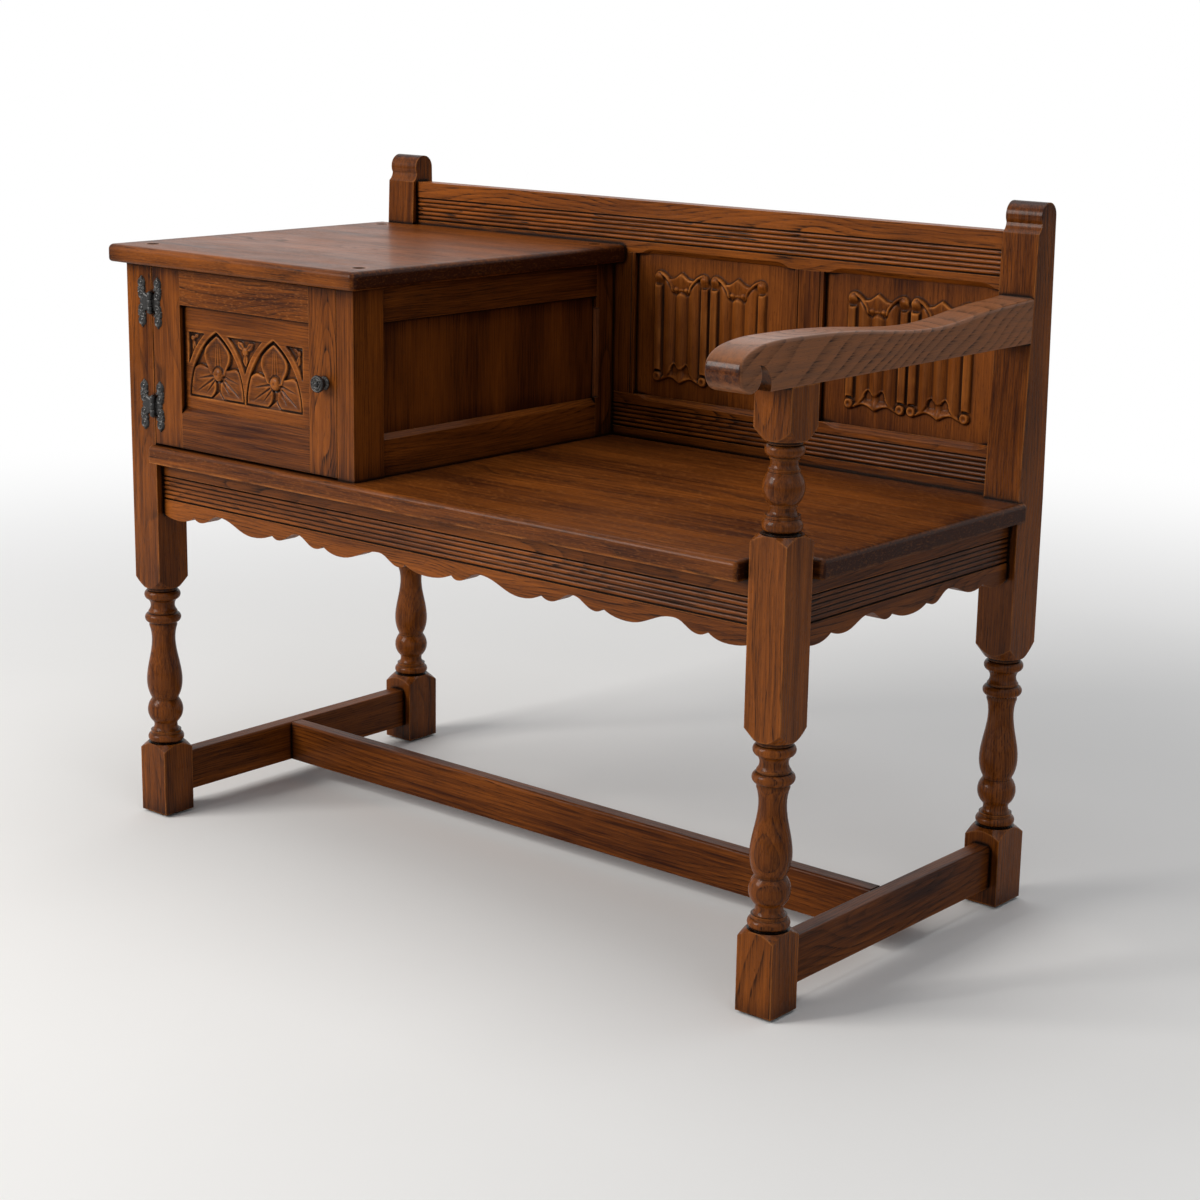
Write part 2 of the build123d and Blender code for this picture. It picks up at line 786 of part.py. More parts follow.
pieces["left_muntin"] = muntin(left_muntin_x)
pieces["centre_muntin"] = muntin(centre_muntin_x)


def back_panel(x0, x1):
    """A flat panel held in the grooves round an opening of the back."""
    return block(
        (x0 - panel_groove, x1 + panel_groove),
        back_grooves,
        (bottom_rail_top - panel_groove, top_rail_bottom + panel_groove),
    )


def folded_cloth(x, z0, z1):
    """One linenfold: a roll at each side, and fluted cloth with wavy ends between them."""
    face = panel_face
    roll = linenfold_roll / 2
    inner = linenfold_motif - 2 * linenfold_roll
    parts = []
    for centre in (x + roll, x + linenfold_motif - roll):
        bar = pillar(centre, face, roll, z0 + linenfold_roll_drop, z1 - linenfold_roll_drop)
        front = block((centre - roll, centre + roll), (face - linenfold_relief, face + 1), (z0, z1))
        parts.append(bar & front)
    left = x + linenfold_roll + 1
    right = left + inner - 2
    middle = (left + right) / 2

    def wave(outer, z, dip):
        """Half of a wavy end, from the cloth's side at outer to its middle."""
        inward = 1 if outer < middle else -1
        return Bezier(
            (outer, face, z),
            (outer + inward * linenfold_ease, face, z),
            (middle - inward * linenfold_peak, face, z + dip),
            (middle, face, z),
        )

    top = [wave(left, z1, -linenfold_dip), wave(right, z1, -linenfold_dip)]
    bottom = [wave(right, z0, linenfold_dip), wave(left, z0, linenfold_dip)]
    sides = [Line((right, face, z1), (right, face, z0)), Line((left, face, z0), (left, face, z1))]
    cloth = prism(top + [sides[0]] + bottom + [sides[1]], (0, -1, 0), linenfold_relief - 1)
    for share in (0.0, 0.33, 0.67, 1.0):
        flute_x = left + 5 + share * (right - left - 10)
        cloth -= pillar(flute_x, face - linenfold_relief + 1, linenfold_flute / 2, z0, z1)
    return parts + [cloth]


pieces["left_back_panel"] = back_panel(*panel_spans[0])
carved_panels = ("middle_linenfold_panel", "right_linenfold_panel")
for name, span, shift in zip(carved_panels, panel_spans[1:], linenfold_shifts):
    panel = back_panel(*span)
    width = 2 * linenfold_motif + linenfold_gap
    start = sum(span) / 2 + shift - width / 2
    for x in (start, start + linenfold_motif + linenfold_gap):
        for part in folded_cloth(x, bottom_rail_top + linenfold_margin, top_rail_bottom - linenfold_margin):
            panel += part
    pieces[name] = panel

# --- arm ----------------------------------------------------------------------------

arm_x = bench_width - arm_width
crest = arm_underside + arm_height
scroll_y = -arm_scroll_back
scroll_z = arm_underside + arm_scroll_radius
nose = (arm_x, -arm_front_reach, arm_underside + arm_nose_height)
back_low = (arm_x, post_front(arm_underside), arm_underside)
back_high = (
    arm_x,
    post_front(arm_underside + arm_back_height),
    arm_underside + arm_back_height,
)
dip_y = back_foot_front * 0.63
notch_tip = (arm_x, scroll_y + 12, scroll_z + 9.5)
notch_lip = (arm_x, scroll_y + 26, arm_underside)
scroll_bottom = (arm_x, scroll_y, arm_underside)
arm_edges = [
    Line(notch_lip, back_low),
    Line(back_low, back_high),
    Spline(
        back_high,
        (arm_x, dip_y + 0.55 * (back_foot_front - dip_y), arm_underside + arm_back_height - 5),
        (arm_x, dip_y, arm_underside + arm_dip_height),
        (arm_x, dip_y * 0.4, arm_underside + arm_height - 3.5),
        (arm_x, 0, crest),
        (arm_x, -arm_front_reach * 0.62, crest - 3.0),
        (arm_x, -arm_front_reach + 3.5, arm_underside + arm_nose_height + 10),
        nose,
        tangents=[(0, -1, -0.1), (0, 0, -1)],
    ),
    ThreePointArc(
        nose,
        (arm_x, scroll_y - arm_scroll_radius + 1, arm_underside + 6.5),
        scroll_bottom,
    ),
    ThreePointArc(
        scroll_bottom,
        (arm_x, scroll_y + arm_scroll_radius * 0.92, scroll_z - 3),
        notch_tip,
    ),
    ThreePointArc(notch_tip, (arm_x, scroll_y + 25, arm_underside + 15), notch_lip),
]
arm = prism(arm_edges, (1, 0, 0), arm_width)


def along_arm_top(edge):
    """Whether an edge runs along a side of the arm, over its top or down its nose."""
    middle = edge @ 0.5
    flat = edge.bounding_box().size.X < 0.01
    over_top = middle.Z > arm_underside + arm_dip_height / 2 and middle.Y < back_foot_front
    down_nose = middle.Y < scroll_y - arm_scroll_radius / 2
    return flat and (down_nose or (over_top and edge.length > arm_width * 2))


side_edges = [edge for edge in arm.edges() if along_arm_top(edge)]
arm = fillet(side_edges, arm_edge_radius)
arm_middle = arm_x + arm_width / 2
back_tenon = block(
    (arm_middle - arm_tenon_size / 2, arm_middle + arm_tenon_size / 2),
    (back_foot_front, post_front(arm_underside) + tenon_length),
    (arm_underside + tenon_shoulder, arm_underside + arm_back_height - 3 * tenon_shoulder),
)
arm += back_tenon
back_right_post -= deepened(back_tenon, (0, 1, 0))
leg_middle = bench_width - leg_size / 2
support_tenon = block(
    (leg_middle - arm_tenon_size / 2, leg_middle + arm_tenon_size / 2),
    ((leg_size - arm_tenon_size) / 2, (leg_size + arm_tenon_size) / 2),
    (arm_underside, arm_underside + arm_tenon_height),
)
front_right_leg += support_tenon
pieces["arm"] = arm - deepened(support_tenon, (0, 0, 1))

# --- cabinet ------------------------------------------------------------------------

side_inner = (cabinet_frame_thickness - panel_thickness) / 2
side_top_z = (top_height - cabinet_top_rail_height, top_height)
side_bottom_z = (seat_top, seat_top + cabinet_bottom_rail_height)
stile_front = rail_face - cabinet_stile_width
right_frame_x = (cabinet_frame_back, cabinet_frame_face)
left_frame_x = (cabinet_side_recess, cabinet_side_recess + cabinet_frame_thickness)


def side_frame(x, y_front, back_member, back_face):
    """Rails and panel of a cabinet side, between its front member and its back member.

    back_face gives the front of the back member at a height.  Also returned is what the
    front member and the back member lose to them."""
    core = (x[0] + side_inner, x[1] - side_inner)
    rails = []
    front_cut = []
    back_cut = []
    levels = (
        (side_top_z, (side_top_z[0], side_top_z[0] + groove_depth)),
        (side_bottom_z, (side_bottom_z[1] - groove_depth, side_bottom_z[1])),
    )
    for z, lip in levels:
        rail = block(x, (y_front, rail_face), z) - back_member
        rail = rail.solids().sort_by(Axis.Y)[0] - block(core, (y_front, rail_face), lip)
        if lip[0] == z[0]:
            stub_z = (lip[1], z[1] - tenon_shoulder)
        else:
            stub_z = (z[0] + tenon_shoulder, lip[0])
        front_stub = block(core, (y_front - panel_groove, y_front), stub_z)
        back_stub = block(core, (back_face(z[0]), back_face(z[1]) + panel_groove), stub_z)
        rails.append(rail + front_stub + back_stub)
        front_cut.append(deepened(front_stub, (0, -1, 0)))
        back_cut.append(deepened(back_stub, (0, 1, 0)))
    panel_z = (side_bottom_z[1] - panel_groove, side_top_z[0] + panel_groove)
    groove_z = (side_bottom_z[1] - groove_depth, side_top_z[0] + groove_depth)
    panel_end = back_face(groove_z[1]) + panel_groove
    panel = block(core, (y_front - panel_groove, panel_end), panel_z)
    front_cut.append(block(core, (y_front - groove_depth, y_front), groove_z))
    back_cut.append(
        block(core, (back_face(groove_z[0]), panel_end + panel_clearance), groove_z)
    )
    return rails, panel, front_cut, back_cut


def outer_chamfer(face_x, outward, y, z):
    """The cutter for a chamfer along the upper outer edge of a side's bottom rail."""
    size = cabinet_chamfer * outward
    corner = (face_x, y[0], z)
    inner = (face_x - size, y[0], z)
    lower = (face_x, y[0], z - cabinet_chamfer)
    edges = [Line(corner, inner), Line(inner, lower), Line(lower, corner)]
    return prism(edges, (0, 1, 0), y[1] - y[0])


front_post = block(
    (cabinet_post_x, cabinet_side_x), (0, cabinet_post_depth), (seat_top, top_height)
)
back_stile = block(right_frame_x, (stile_front, rail_face), (seat_top, top_height))
chamfer_z = (side_bottom_z[1], side_top_z[0] - stile_chamfer_stop)
arris = (cabinet_frame_face, stile_front, chamfer_z[0])
across = (cabinet_frame_face - stile_chamfer, stile_front, chamfer_z[0])
along = (cabinet_frame_face, stile_front + stile_chamfer, chamfer_z[0])
chamfer_edges = [Line(arris, across), Line(across, along), Line(along, arris)]
back_stile -= prism(chamfer_edges, (0, 0, 1), chamfer_z[1] - chamfer_z[0])
rails, panel, front_cut, back_cut = side_frame(
    right_frame_x, cabinet_post_depth, back_stile, lambda z: stile_front
)
for cut in front_cut:
    front_post -= cut
for cut in back_cut:
    back_stile -= cut
pieces["cabinet_right_top_rail"] = rails[0]
pieces["cabinet_right_bottom_rail"] = rails[1] - outer_chamfer(
    cabinet_frame_face, 1, (cabinet_post_depth, stile_front), side_bottom_z[1]
)
pieces["cabinet_right_panel"] = panel

rails, panel, front_cut, back_cut = side_frame(
    left_frame_x, leg_size, back_left_blank, post_front
)
for cut in front_cut:
    front_left_leg -= cut
for cut in back_cut:
    back_left_post -= cut
left_top_rail = rails[0]
pieces["cabinet_left_bottom_rail"] = rails[1] - outer_chamfer(
    cabinet_side_recess, -1, (leg_size, back_foot_front), side_bottom_z[1]
)
pieces["cabinet_left_panel"] = panel

top_x = (-top_overhang, cabinet_side_x + top_overhang)
top_notch = (leg_size + top_post_gap, post_front(top_height) - top_post_gap)
top_points = [
    (top_x[0], -top_overhang),
    (top_x[1], -top_overhang),
    (top_x[1], rail_face),
    (top_notch[0], rail_face),
    (top_notch[0], top_notch[1]),
    (top_x[0], top_notch[1]),
]
cabinet_top = extrude(
    Pos(0, 0, top_height) * make_face(Polyline(*top_points, close=True)),
    top_thickness,
    dir=(0, 0, 1),
)
front_corners = [
    cabinet_top.edges().filter_by(Axis.Z).sort_by_distance((x, -top_overhang, top_height))[0]
    for x in top_x
]
cabinet_top = fillet(front_corners, top_corner_radius)


def top_outer_edge(point):
    sides = point.X < top_x[0] + top_corner_radius or point.X > top_x[1] - top_corner_radius
    return point.Y < top_corner_radius - top_overhang or (sides and point.Y < top_notch[1] - 1)


cabinet_top = fillet(top_edges_at(cabinet_top, top_surface, top_outer_edge), top_edge_radius)
cabinet_top = fillet(top_edges_at(cabinet_top, top_height, top_outer_edge), top_lower_radius)

plug_places = [
    (front_plug_inset, front_plug_inset),
    (cabinet_side_x - side_plug_inset, front_plug_inset),
    (cabinet_side_x - back_plug_inset, rail_face - right_back_plug_gap),
    (left_plug_inset, rail_face - left_back_plug_gap),
]
plug_bottom = top_surface - plug_depth
head_bottom = plug_bottom - top_screw_head
plugs = [pillar(x, y, plug_radius, plug_bottom, top_surface) for x, y in plug_places]
screws = [
    pillar(x, y, top_screw_head_radius, head_bottom, plug_bottom)
    + pillar(x, y, top_screw_radius, head_bottom - top_screw_length, head_bottom)
    for x, y in plug_places
]
for cut in plugs + screws:
    cabinet_top -= cut
front_left_leg -= screws[0]
front_post -= screws[1]
back_stile -= screws[2]
left_top_rail -= screws[3]
pieces["cabinet_top"] = cabinet_top
pieces["cabinet_front_post"] = front_post
pieces["cabinet_right_back_stile"] = back_stile
pieces["cabinet_left_top_rail"] = left_top_rail
pieces["top_plugs"] = together(plugs)
pieces["top_screws"] = together(screws)

# --- door ---------------------------------------------------------------------------

door_core = (door_panel_recess, door_panel_recess + door_panel_thickness)
door_y = (0, door_thickness)
door_groove_depth = door_groove + panel_clearance
hinge_stile = block((door_x0, opening_x0), door_y, (door_z0, door_z1))
lock_stile = block((opening_x1, door_x1), door_y, (door_z0, door_z1))
door_rails = []
for z, lip, stub_z in (
    (
        (opening_z1, door_z1),
        (opening_z1, opening_z1 + door_groove_depth),
        (opening_z1 + door_groove_depth, door_z1 - tenon_shoulder),
    ),
    (
        (door_z0, opening_z0),
        (opening_z0 - door_groove_depth, opening_z0),
        (door_z0 + tenon_shoulder, opening_z0 - door_groove_depth),
    ),
):
    rail = block((opening_x0, opening_x1), door_y, z)
    rail -= block((opening_x0, opening_x1), door_core, lip)
    left_stub = block((opening_x0 - door_tenon_length, opening_x0), door_core, stub_z)
    right_stub = block((opening_x1, opening_x1 + door_tenon_length), door_core, stub_z)
    hinge_stile -= deepened(left_stub, (-1, 0, 0))
    lock_stile -= deepened(right_stub, (1, 0, 0))
    door_rails.append(rail + left_stub + right_stub)
door_groove_z = (opening_z0 - door_groove_depth, opening_z1 + door_groove_depth)
hinge_stile -= block((opening_x0 - door_groove_depth, opening_x0), door_core, door_groove_z)
lock_stile -= block((opening_x1, opening_x1 + door_groove_depth), door_core, door_groove_z)
chamfer_corner = (opening_x0, 0, opening_z0)
chamfer_back = (opening_x0, door_panel_recess, opening_z0)
chamfer_foot = (opening_x0, 0, opening_z0 - door_chamfer)
door_rails[1] -= prism(
    [
        Line(chamfer_corner, chamfer_back),
        Line(chamfer_back, chamfer_foot),
        Line(chamfer_foot, chamfer_corner),
    ],
    (1, 0, 0),
    opening_x1 - opening_x0,
)
pieces["door_top_rail"] = door_rails[0]
pieces["door_bottom_rail"] = door_rails[1]

door_panel = block(
    (opening_x0 - door_groove, opening_x1 + door_groove),
    door_core,
    (opening_z0 - door_groove, opening_z1 + door_groove),
)
arch_base = opening_z0 + arch_base_rise
arch_height = opening_z1 - arch_top_margin - arch_base
arch_middle = (opening_x0 + opening_x1) / 2 + arch_shift
flower_z = arch_base + arch_height * flower_share
arch_offset = (arch_width + arch_gap) / 2
arch_centres = (arch_middle - arch_offset, arch_middle + arch_offset)
arch_radius = (arch_height**2 + (arch_width / 2) ** 2) / arch_width


def lancet(centre, grow, depth):
    """A pointed arch let into the panel's face, its sides moved out by grow."""
    radius = arch_radius + grow
    half = arch_width / 2 + grow
    rise = math.sqrt(radius**2 - (radius - half) ** 2)
    low = arch_base - grow
    y = door_panel_recess
    swing = math.asin(rise / radius) / 2
    side_x = (radius - half) - radius * math.cos(swing)
    side_z = arch_base + radius * math.sin(swing)
    apex = (centre, y, arch_base + rise)
    left = (centre - half, y, arch_base)
    right = (centre + half, y, arch_base)
    edges = [
        ThreePointArc(left, (centre + side_x, y, side_z), apex),
        ThreePointArc(apex, (centre - side_x, y, side_z), right),
        Line(right, (centre + half, y, low - 0.001)),
        Line((centre + half, y, low - 0.001), (centre - half, y, low - 0.001)),
        Line((centre - half, y, low - 0.001), left),
    ]
    return prism(edges, (0, 1, 0), depth)


def petal(centre, turn, length, width):
    """A pointed petal that grows from a flower's middle, turned from upright."""
    tip = (0, 0, length)
    wide = width / 2
    edges = [
        ThreePointArc((0, 0, 0), (-wide, 0, length * 0.55), tip),
        ThreePointArc(tip, (wide, 0, length * 0.55), (0, 0, 0)),
    ]
    leaf = prism(edges, (0, -1, 0), petal_height)
    bed = door_panel_recess + arch_depth
    return Pos(centre, bed, flower_z) * Rot(0, turn, 0) * leaf


for centre in arch_centres:
    pocket = lancet(centre, 0, arch_depth)
    door_panel -= pocket
    flower = disc(
        centre,
        flower_z,
        flower_boss_radius,
        door_panel_recess,
        door_panel_recess + arch_depth,
    )
    for turn, length, width in petals:
        flower += petal(centre, turn, length * arch_width, width * arch_width) & pocket
    door_panel += flower

spandrel_x = (arch_centres[0] - arch_width / 2, arch_centres[1] + arch_width / 2)
spandrels = block(
    spandrel_x,
    (door_panel_recess, door_panel_recess + spandrel_depth),
    (arch_base + arch_height * spandrel_start, arch_base + arch_height),
)
for centre in arch_centres:
    spandrels -= lancet(centre, arch_rib, spandrel_depth)
pieces["door_panel"] = door_panel - spandrels

# --- hinges -------------------------------------------------------------------------


def profile_turned(points):
    """A solid turned about z from straight and curved parts of its outline.

    Each point is a radius and a height.  A third value bows the line to it outwards, and
    "dome" makes that line a part of a ball."""
    edges = []
    for before, after in zip(points, points[1:]):
        start = Vector(before[0], 0, before[1])
        end = Vector(after[0], 0, after[1])
        if len(after) == 2:
            edges.append(Line(start, end))
        elif after[2] == "dome":
            rise = after[1] - before[1]
            radius = (before[0] ** 2 + rise**2) / (2 * rise)
            swing = math.asin(before[0] / radius) / 2
            middle = (radius * math.sin(swing), 0, after[1] - radius + radius * math.cos(swing))
            edges.append(ThreePointArc(start, middle, end))
        else:
            middle = (start + end) / 2 + Vector(after[2], 0, after[2])
            edges.append(ThreePointArc(start, middle, end))
    edges.append(Line(edges[-1] @ 1, edges[0] @ 0))
    return revolve(make_face(edges), Axis.Z, 360)


screw_shape = profile_turned(
    [
        (0, -screw_length),
        (screw_radius, -screw_length + screw_radius),
        (screw_radius, 0),
        (screw_head_radius, 0),
        (0, screw_dome, "dome"),
    ]
)
screw_lifts = (leaf_half_height, leaf_inner_screw, -leaf_inner_screw, -leaf_half_height)


def leaf_screws(x, z):
    """The four domed screws of one leaf."""
    place = [Pos(x, -leaf_thickness, z + lift) * Rot(90, 0, 0) for lift in screw_lifts]
    return [spot * screw_shape for spot in place]


def leaf(x, neck_x, z):
    """A wavy leaf: a lobe at each screw, a waist between them and a neck to the barrel."""
    plate = block(
        (x - leaf_waist / 2, x + leaf_waist / 2),
        (-leaf_thickness, 0),
        (z - leaf_half_height, z + leaf_half_height),
    )
    for lift in screw_lifts:
        lobe = leaf_end_lobe if abs(lift) > leaf_inner_screw else leaf_inner_lobe
        plate += disc(x, z + lift, lobe, -leaf_thickness, 0)
    neck = (min(x, neck_x), max(x, neck_x))
    return plate + block(neck, (-leaf_thickness, 0), (z - barrel_height / 2, z + barrel_height / 2))


post_leaves = []
door_leaves = []
pins = []
post_screws = []
door_screws = []
for z in hinge_heights:
    low = z - barrel_height / 2
    high = z + barrel_height / 2
    third = barrel_height / 3
    door_band = (low + third + barrel_gap / 2, high - third - barrel_gap / 2)
    post_bands = ((low, low + third - barrel_gap / 2), (high - third + barrel_gap / 2, high))
    pin = pillar(hinge_x, hinge_y, pin_radius, low - pin_end, high + pin_end)
    bore = pillar(hinge_x, hinge_y, pin_radius + pin_clearance, low, high)
    swept = barrel_radius + barrel_gap
    post_plate = leaf(hinge_x - post_leaf_offset, leg_size - leaf_edge_gap, z)
    door_barrel = (low + third - barrel_gap / 2, high - third + barrel_gap / 2)
    post_plate -= pillar(hinge_x, hinge_y, swept, *door_barrel)
    for band in post_bands:
        post_plate += pillar(hinge_x, hinge_y, barrel_radius, *band)
    door_plate = leaf(hinge_x + door_leaf_offset, door_x0 + leaf_edge_gap, z)
    for band in ((low, door_band[0]), (door_band[1], high)):
        door_plate -= pillar(hinge_x, hinge_y, swept, *band)
    door_plate += pillar(hinge_x, hinge_y, barrel_radius, *door_band)
    post_plate -= pin
    door_plate -= bore
    on_post = leaf_screws(hinge_x - post_leaf_offset, z)
    on_door = leaf_screws(hinge_x + door_leaf_offset, z)
    for screw in on_post:
        post_plate -= screw
        front_left_leg -= screw
    for screw in on_door:
        door_plate -= screw
        hinge_stile -= screw
    post_leaves.append(post_plate)
    door_leaves.append(door_plate)
    pins.append(pin)
    post_screws += on_post
    door_screws += on_door
pieces["hinge_post_leaves"] = together(post_leaves)
pieces["hinge_door_leaves"] = together(door_leaves)
pieces["hinge_pins"] = together(pins)
pieces["post_leaf_screws"] = together(post_screws)
pieces["door_leaf_screws"] = together(door_screws)

# --- knob ---------------------------------------------------------------------------

knob = profile_turned(
    [
        (0, -knob_shank_length),
        (knob_shank_radius, -knob_shank_length),
        (knob_shank_radius, 0),
        (knob_neck_radius, 0),
        (knob_neck_radius, knob_neck_length),
        (knob_radius, knob_neck_length + 1.5),
        (knob_radius, knob_length - 3.0),
        (knob_radius * 0.6, knob_length - 0.8, 0.6),
        (knob_radius * 0.5, knob_length - 2.2),
        (knob_radius * 0.35, knob_length - 2.2),
        (0, knob_length, "dome"),
    ]
)
knob = Pos(door_x1 - knob_from_edge, 0, (door_z0 + door_z1) / 2) * Rot(90, 0, 0) * knob
pieces["knob"] = knob
pieces["door_lock_stile"] = lock_stile - knob
pieces["door_hinge_stile"] = hinge_stile

# --- writing ------------------------------------------------------------------------

pieces["front_left_leg"] = front_left_leg
pieces["front_right_leg"] = front_right_leg
pieces["back_left_post"] = back_left_post
pieces["back_right_post"] = back_right_post

os.makedirs("parts", exist_ok=True)
for name, piece in pieces.items():
    export_step(to_origin * piece, f"parts/{name}.step")
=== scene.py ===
"""Oak telephone bench: the finish of every surface, the carved panels and the iron fittings."""

import json
from math import cos, pi, radians, sin

import bpy
import numpy as np
from mathutils import Matrix, Vector

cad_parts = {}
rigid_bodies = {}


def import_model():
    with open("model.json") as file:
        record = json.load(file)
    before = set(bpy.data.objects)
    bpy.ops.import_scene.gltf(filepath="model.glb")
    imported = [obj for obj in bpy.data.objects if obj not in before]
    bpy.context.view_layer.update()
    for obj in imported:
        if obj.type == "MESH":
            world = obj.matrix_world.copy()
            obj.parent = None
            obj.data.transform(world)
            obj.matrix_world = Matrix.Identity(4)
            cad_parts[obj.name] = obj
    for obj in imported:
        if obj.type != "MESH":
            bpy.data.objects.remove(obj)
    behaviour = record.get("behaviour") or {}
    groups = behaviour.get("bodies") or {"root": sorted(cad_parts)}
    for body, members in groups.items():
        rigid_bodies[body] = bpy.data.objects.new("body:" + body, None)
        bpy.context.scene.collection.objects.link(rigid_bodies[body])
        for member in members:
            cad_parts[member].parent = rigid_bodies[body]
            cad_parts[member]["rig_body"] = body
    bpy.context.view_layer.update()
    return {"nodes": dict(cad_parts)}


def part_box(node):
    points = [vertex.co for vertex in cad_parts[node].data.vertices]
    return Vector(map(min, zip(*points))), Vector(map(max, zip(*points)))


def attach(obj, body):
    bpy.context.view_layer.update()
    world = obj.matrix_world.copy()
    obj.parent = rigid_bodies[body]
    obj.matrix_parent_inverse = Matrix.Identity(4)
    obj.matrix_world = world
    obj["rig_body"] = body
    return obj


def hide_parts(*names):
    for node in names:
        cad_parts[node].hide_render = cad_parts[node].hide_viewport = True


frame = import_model()
nodes = frame["nodes"]
MM = 0.001
EDGE_COSINES = (0.985, 0.8)  # how far a rounded normal turns where an edge starts and is full
HOLLOW_SAMPLES = 8
ROUNDING_SAMPLES = 4

# --- material nodes ---


class Graph:
    """The node tree of one material, with a short call for each kind of node used here."""

    def __init__(self, name):
        self.material = bpy.data.materials.new(name)
        self.material.use_nodes = True
        self.tree = self.material.node_tree
        self.tree.nodes.clear()
        self.surface = self.node("ShaderNodeBsdfPrincipled")
        self.output = self.node("ShaderNodeOutputMaterial")
        self.tree.links.new(self.surface.outputs[0], self.output.inputs["Surface"])
        self.object_place = self.node("ShaderNodeTexCoord").outputs["Object"]

    def node(self, kind, inputs=(), **settings):
        """A node with its settings, and its inputs given as (socket, number or output) pairs."""
        made = self.tree.nodes.new(kind)
        for key, value in settings.items():
            setattr(made, key, value)
        for key, value in inputs:
            self.put(made.inputs[key], value)
        return made

    def put(self, socket, value):
        """A link where the value is another node's output, otherwise a plain value."""
        if isinstance(value, bpy.types.NodeSocket):
            self.tree.links.new(value, socket)
        else:
            socket.default_value = value

    def math(self, operation, *values, clamp=False):
        """The result of one node of arithmetic."""
        inputs = list(enumerate(values))
        return self.node("ShaderNodeMath", inputs, operation=operation, use_clamp=clamp).outputs[0]

    def times(self, first, second, clamp=False):
        return self.math("MULTIPLY", first, second, clamp=clamp)

    def vector(self, operation, *values):
        """The result of one node of vector arithmetic."""
        made = self.node("ShaderNodeVectorMath", list(enumerate(values)), operation=operation)
        return made.outputs["Value" if operation in ("DOT_PRODUCT", "LENGTH") else "Vector"]

    def axes(self, vector):
        """The three parts of a vector."""
        return self.node("ShaderNodeSeparateXYZ", [(0, vector)]).outputs

    def joined(self, x, y, z):
        """A vector from its three parts."""
        return self.node("ShaderNodeCombineXYZ", [(0, x), (1, y), (2, z)]).outputs[0]

    def scaled(self, vector, scales):
        return self.vector("MULTIPLY", vector, scales)

    def rotated(self, vector, angle, axis):
        """A vector turned round one axis, in radians."""
        inputs = [("Vector", vector), ("Angle", angle)]
        kind = "ShaderNodeVectorRotate"
        return self.node(kind, inputs, rotation_type=axis + "_AXIS").outputs[0]

    def noise(self, vector, scales, detail=2.0, roughness=0.5, colour=False):
        """Noise from 0 to 1, with one scale for each axis in features per metre."""
        inputs = [("Vector", self.scaled(vector, scales)), ("Scale", 1.0), ("Detail", detail),
                  ("Roughness", roughness)]
        return self.node("ShaderNodeTexNoise", inputs).outputs["Color" if colour else "Fac"]

    def ease(self, value, low, high):
        """0 below low and 1 above high, and smooth between."""
        inputs = [("Value", value), ("From Min", low), ("From Max", high)]
        made = self.node("ShaderNodeMapRange", inputs, interpolation_type="SMOOTHSTEP")
        return made.outputs["Result"]

    def spread(self, value, low, high):
        """The 0 to 1 range of a value stretched to low and high."""
        inputs = [("Value", value), ("To Min", low), ("To Max", high)]
        return self.node("ShaderNodeMapRange", inputs).outputs["Result"]

    def mix(self, share, first, second):
        """The first colour where share is 0 and the second where it is 1."""
        made = self.node("ShaderNodeMix", data_type="RGBA")
        self.put(made.inputs[0], share)
        self.put(made.inputs[6], first)
        self.put(made.inputs[7], second)
        return made.outputs[2]

    def hollows(self, reach):
        """1 deep in a corner or groove and 0 in the open."""
        kind = "ShaderNodeAmbientOcclusion"
        made = self.node(kind, [("Distance", reach)], samples=HOLLOW_SAMPLES)
        return self.math("SUBTRACT", 1.0, made.outputs["AO"])

    def rounded(self, radius):
        """The normal of a surface whose edges are rounded to the radius."""
        made = self.node("ShaderNodeBevel", [("Radius", radius)], samples=ROUNDING_SAMPLES)
        return made.outputs[0]

    def edges(self, radius):
        """1 on an edge and 0 on a flat face."""
        true_normal = self.node("ShaderNodeNewGeometry").outputs["True Normal"]
        agreement = self.vector("DOT_PRODUCT", self.rounded(radius), true_normal)
        return self.ease(agreement, *EDGE_COSINES)

    def bumped(self, strength, depth, height, radius=None):
        """A normal shifted by height, on edges rounded to the radius where one is given."""
        inputs = [("Strength", strength), ("Distance", depth), ("Height", height)]
        made = self.node("ShaderNodeBump", inputs)
        if radius is not None:
            self.put(made.inputs["Normal"], self.rounded(radius))
        return made.outputs[0]

    def finished(self, shade, rough, normal=None):
        """The material, with its colour, roughness and normal joined to the surface."""
        for socket, value in (("Base Color", shade), ("Roughness", rough), ("Normal", normal)):
            if value is not None:
                self.put(self.surface.inputs[socket], value)
        return self.material


def colour(red, green, blue):
    """A plain opaque colour, in linear light."""
    return (red, green, blue, 1.0)


# --- oak ---

OAK_DARK = colour(0.032, 0.007, 0.002)
OAK_LIGHT = colour(0.300, 0.082, 0.010)
# The stain of the rings and pores, which also serves as painted shade in the hollows.
OAK_STAIN_AND_SHADE = colour(0.009, 0.003, 0.001)
OAK_WORN = colour(0.42, 0.140, 0.026)
OAK_FLECK = colour(0.34, 0.115, 0.024)
# Paler, greyer oak: faded wood, and painted reflection of the bright surroundings.
OAK_FADED_AND_REFLECTED = colour(0.27, 0.140, 0.080)
GRAIN_LAST = {"X": (1, 2, 0), "Y": (0, 2, 1), "Z": (0, 1, 2)}  # axes with the grain's own last
NOISE_SHIFT = 20  # metres by which a board's noise may be moved, so that no two boards match
PITH_SWAY = 0.25  # radians
RING_BOW = 0.05  # metres by which slow noise bends the rings
RING_DRIFT = 2.2  # rings by which their spacing wanders
RING_STAIN = 0.9
RING_ROUGHNESS = 0.12
PORE_STAIN = 0.45
FIBRE_CONTRAST = 0.42
STREAK_CONTRAST = 0.54
BLOTCH_CONTRAST = 0.56
BOARD_END = (-0.03, 0.002)  # metres from a board's end where its darkening starts and is full
BOARD_END_STAIN = 0.22
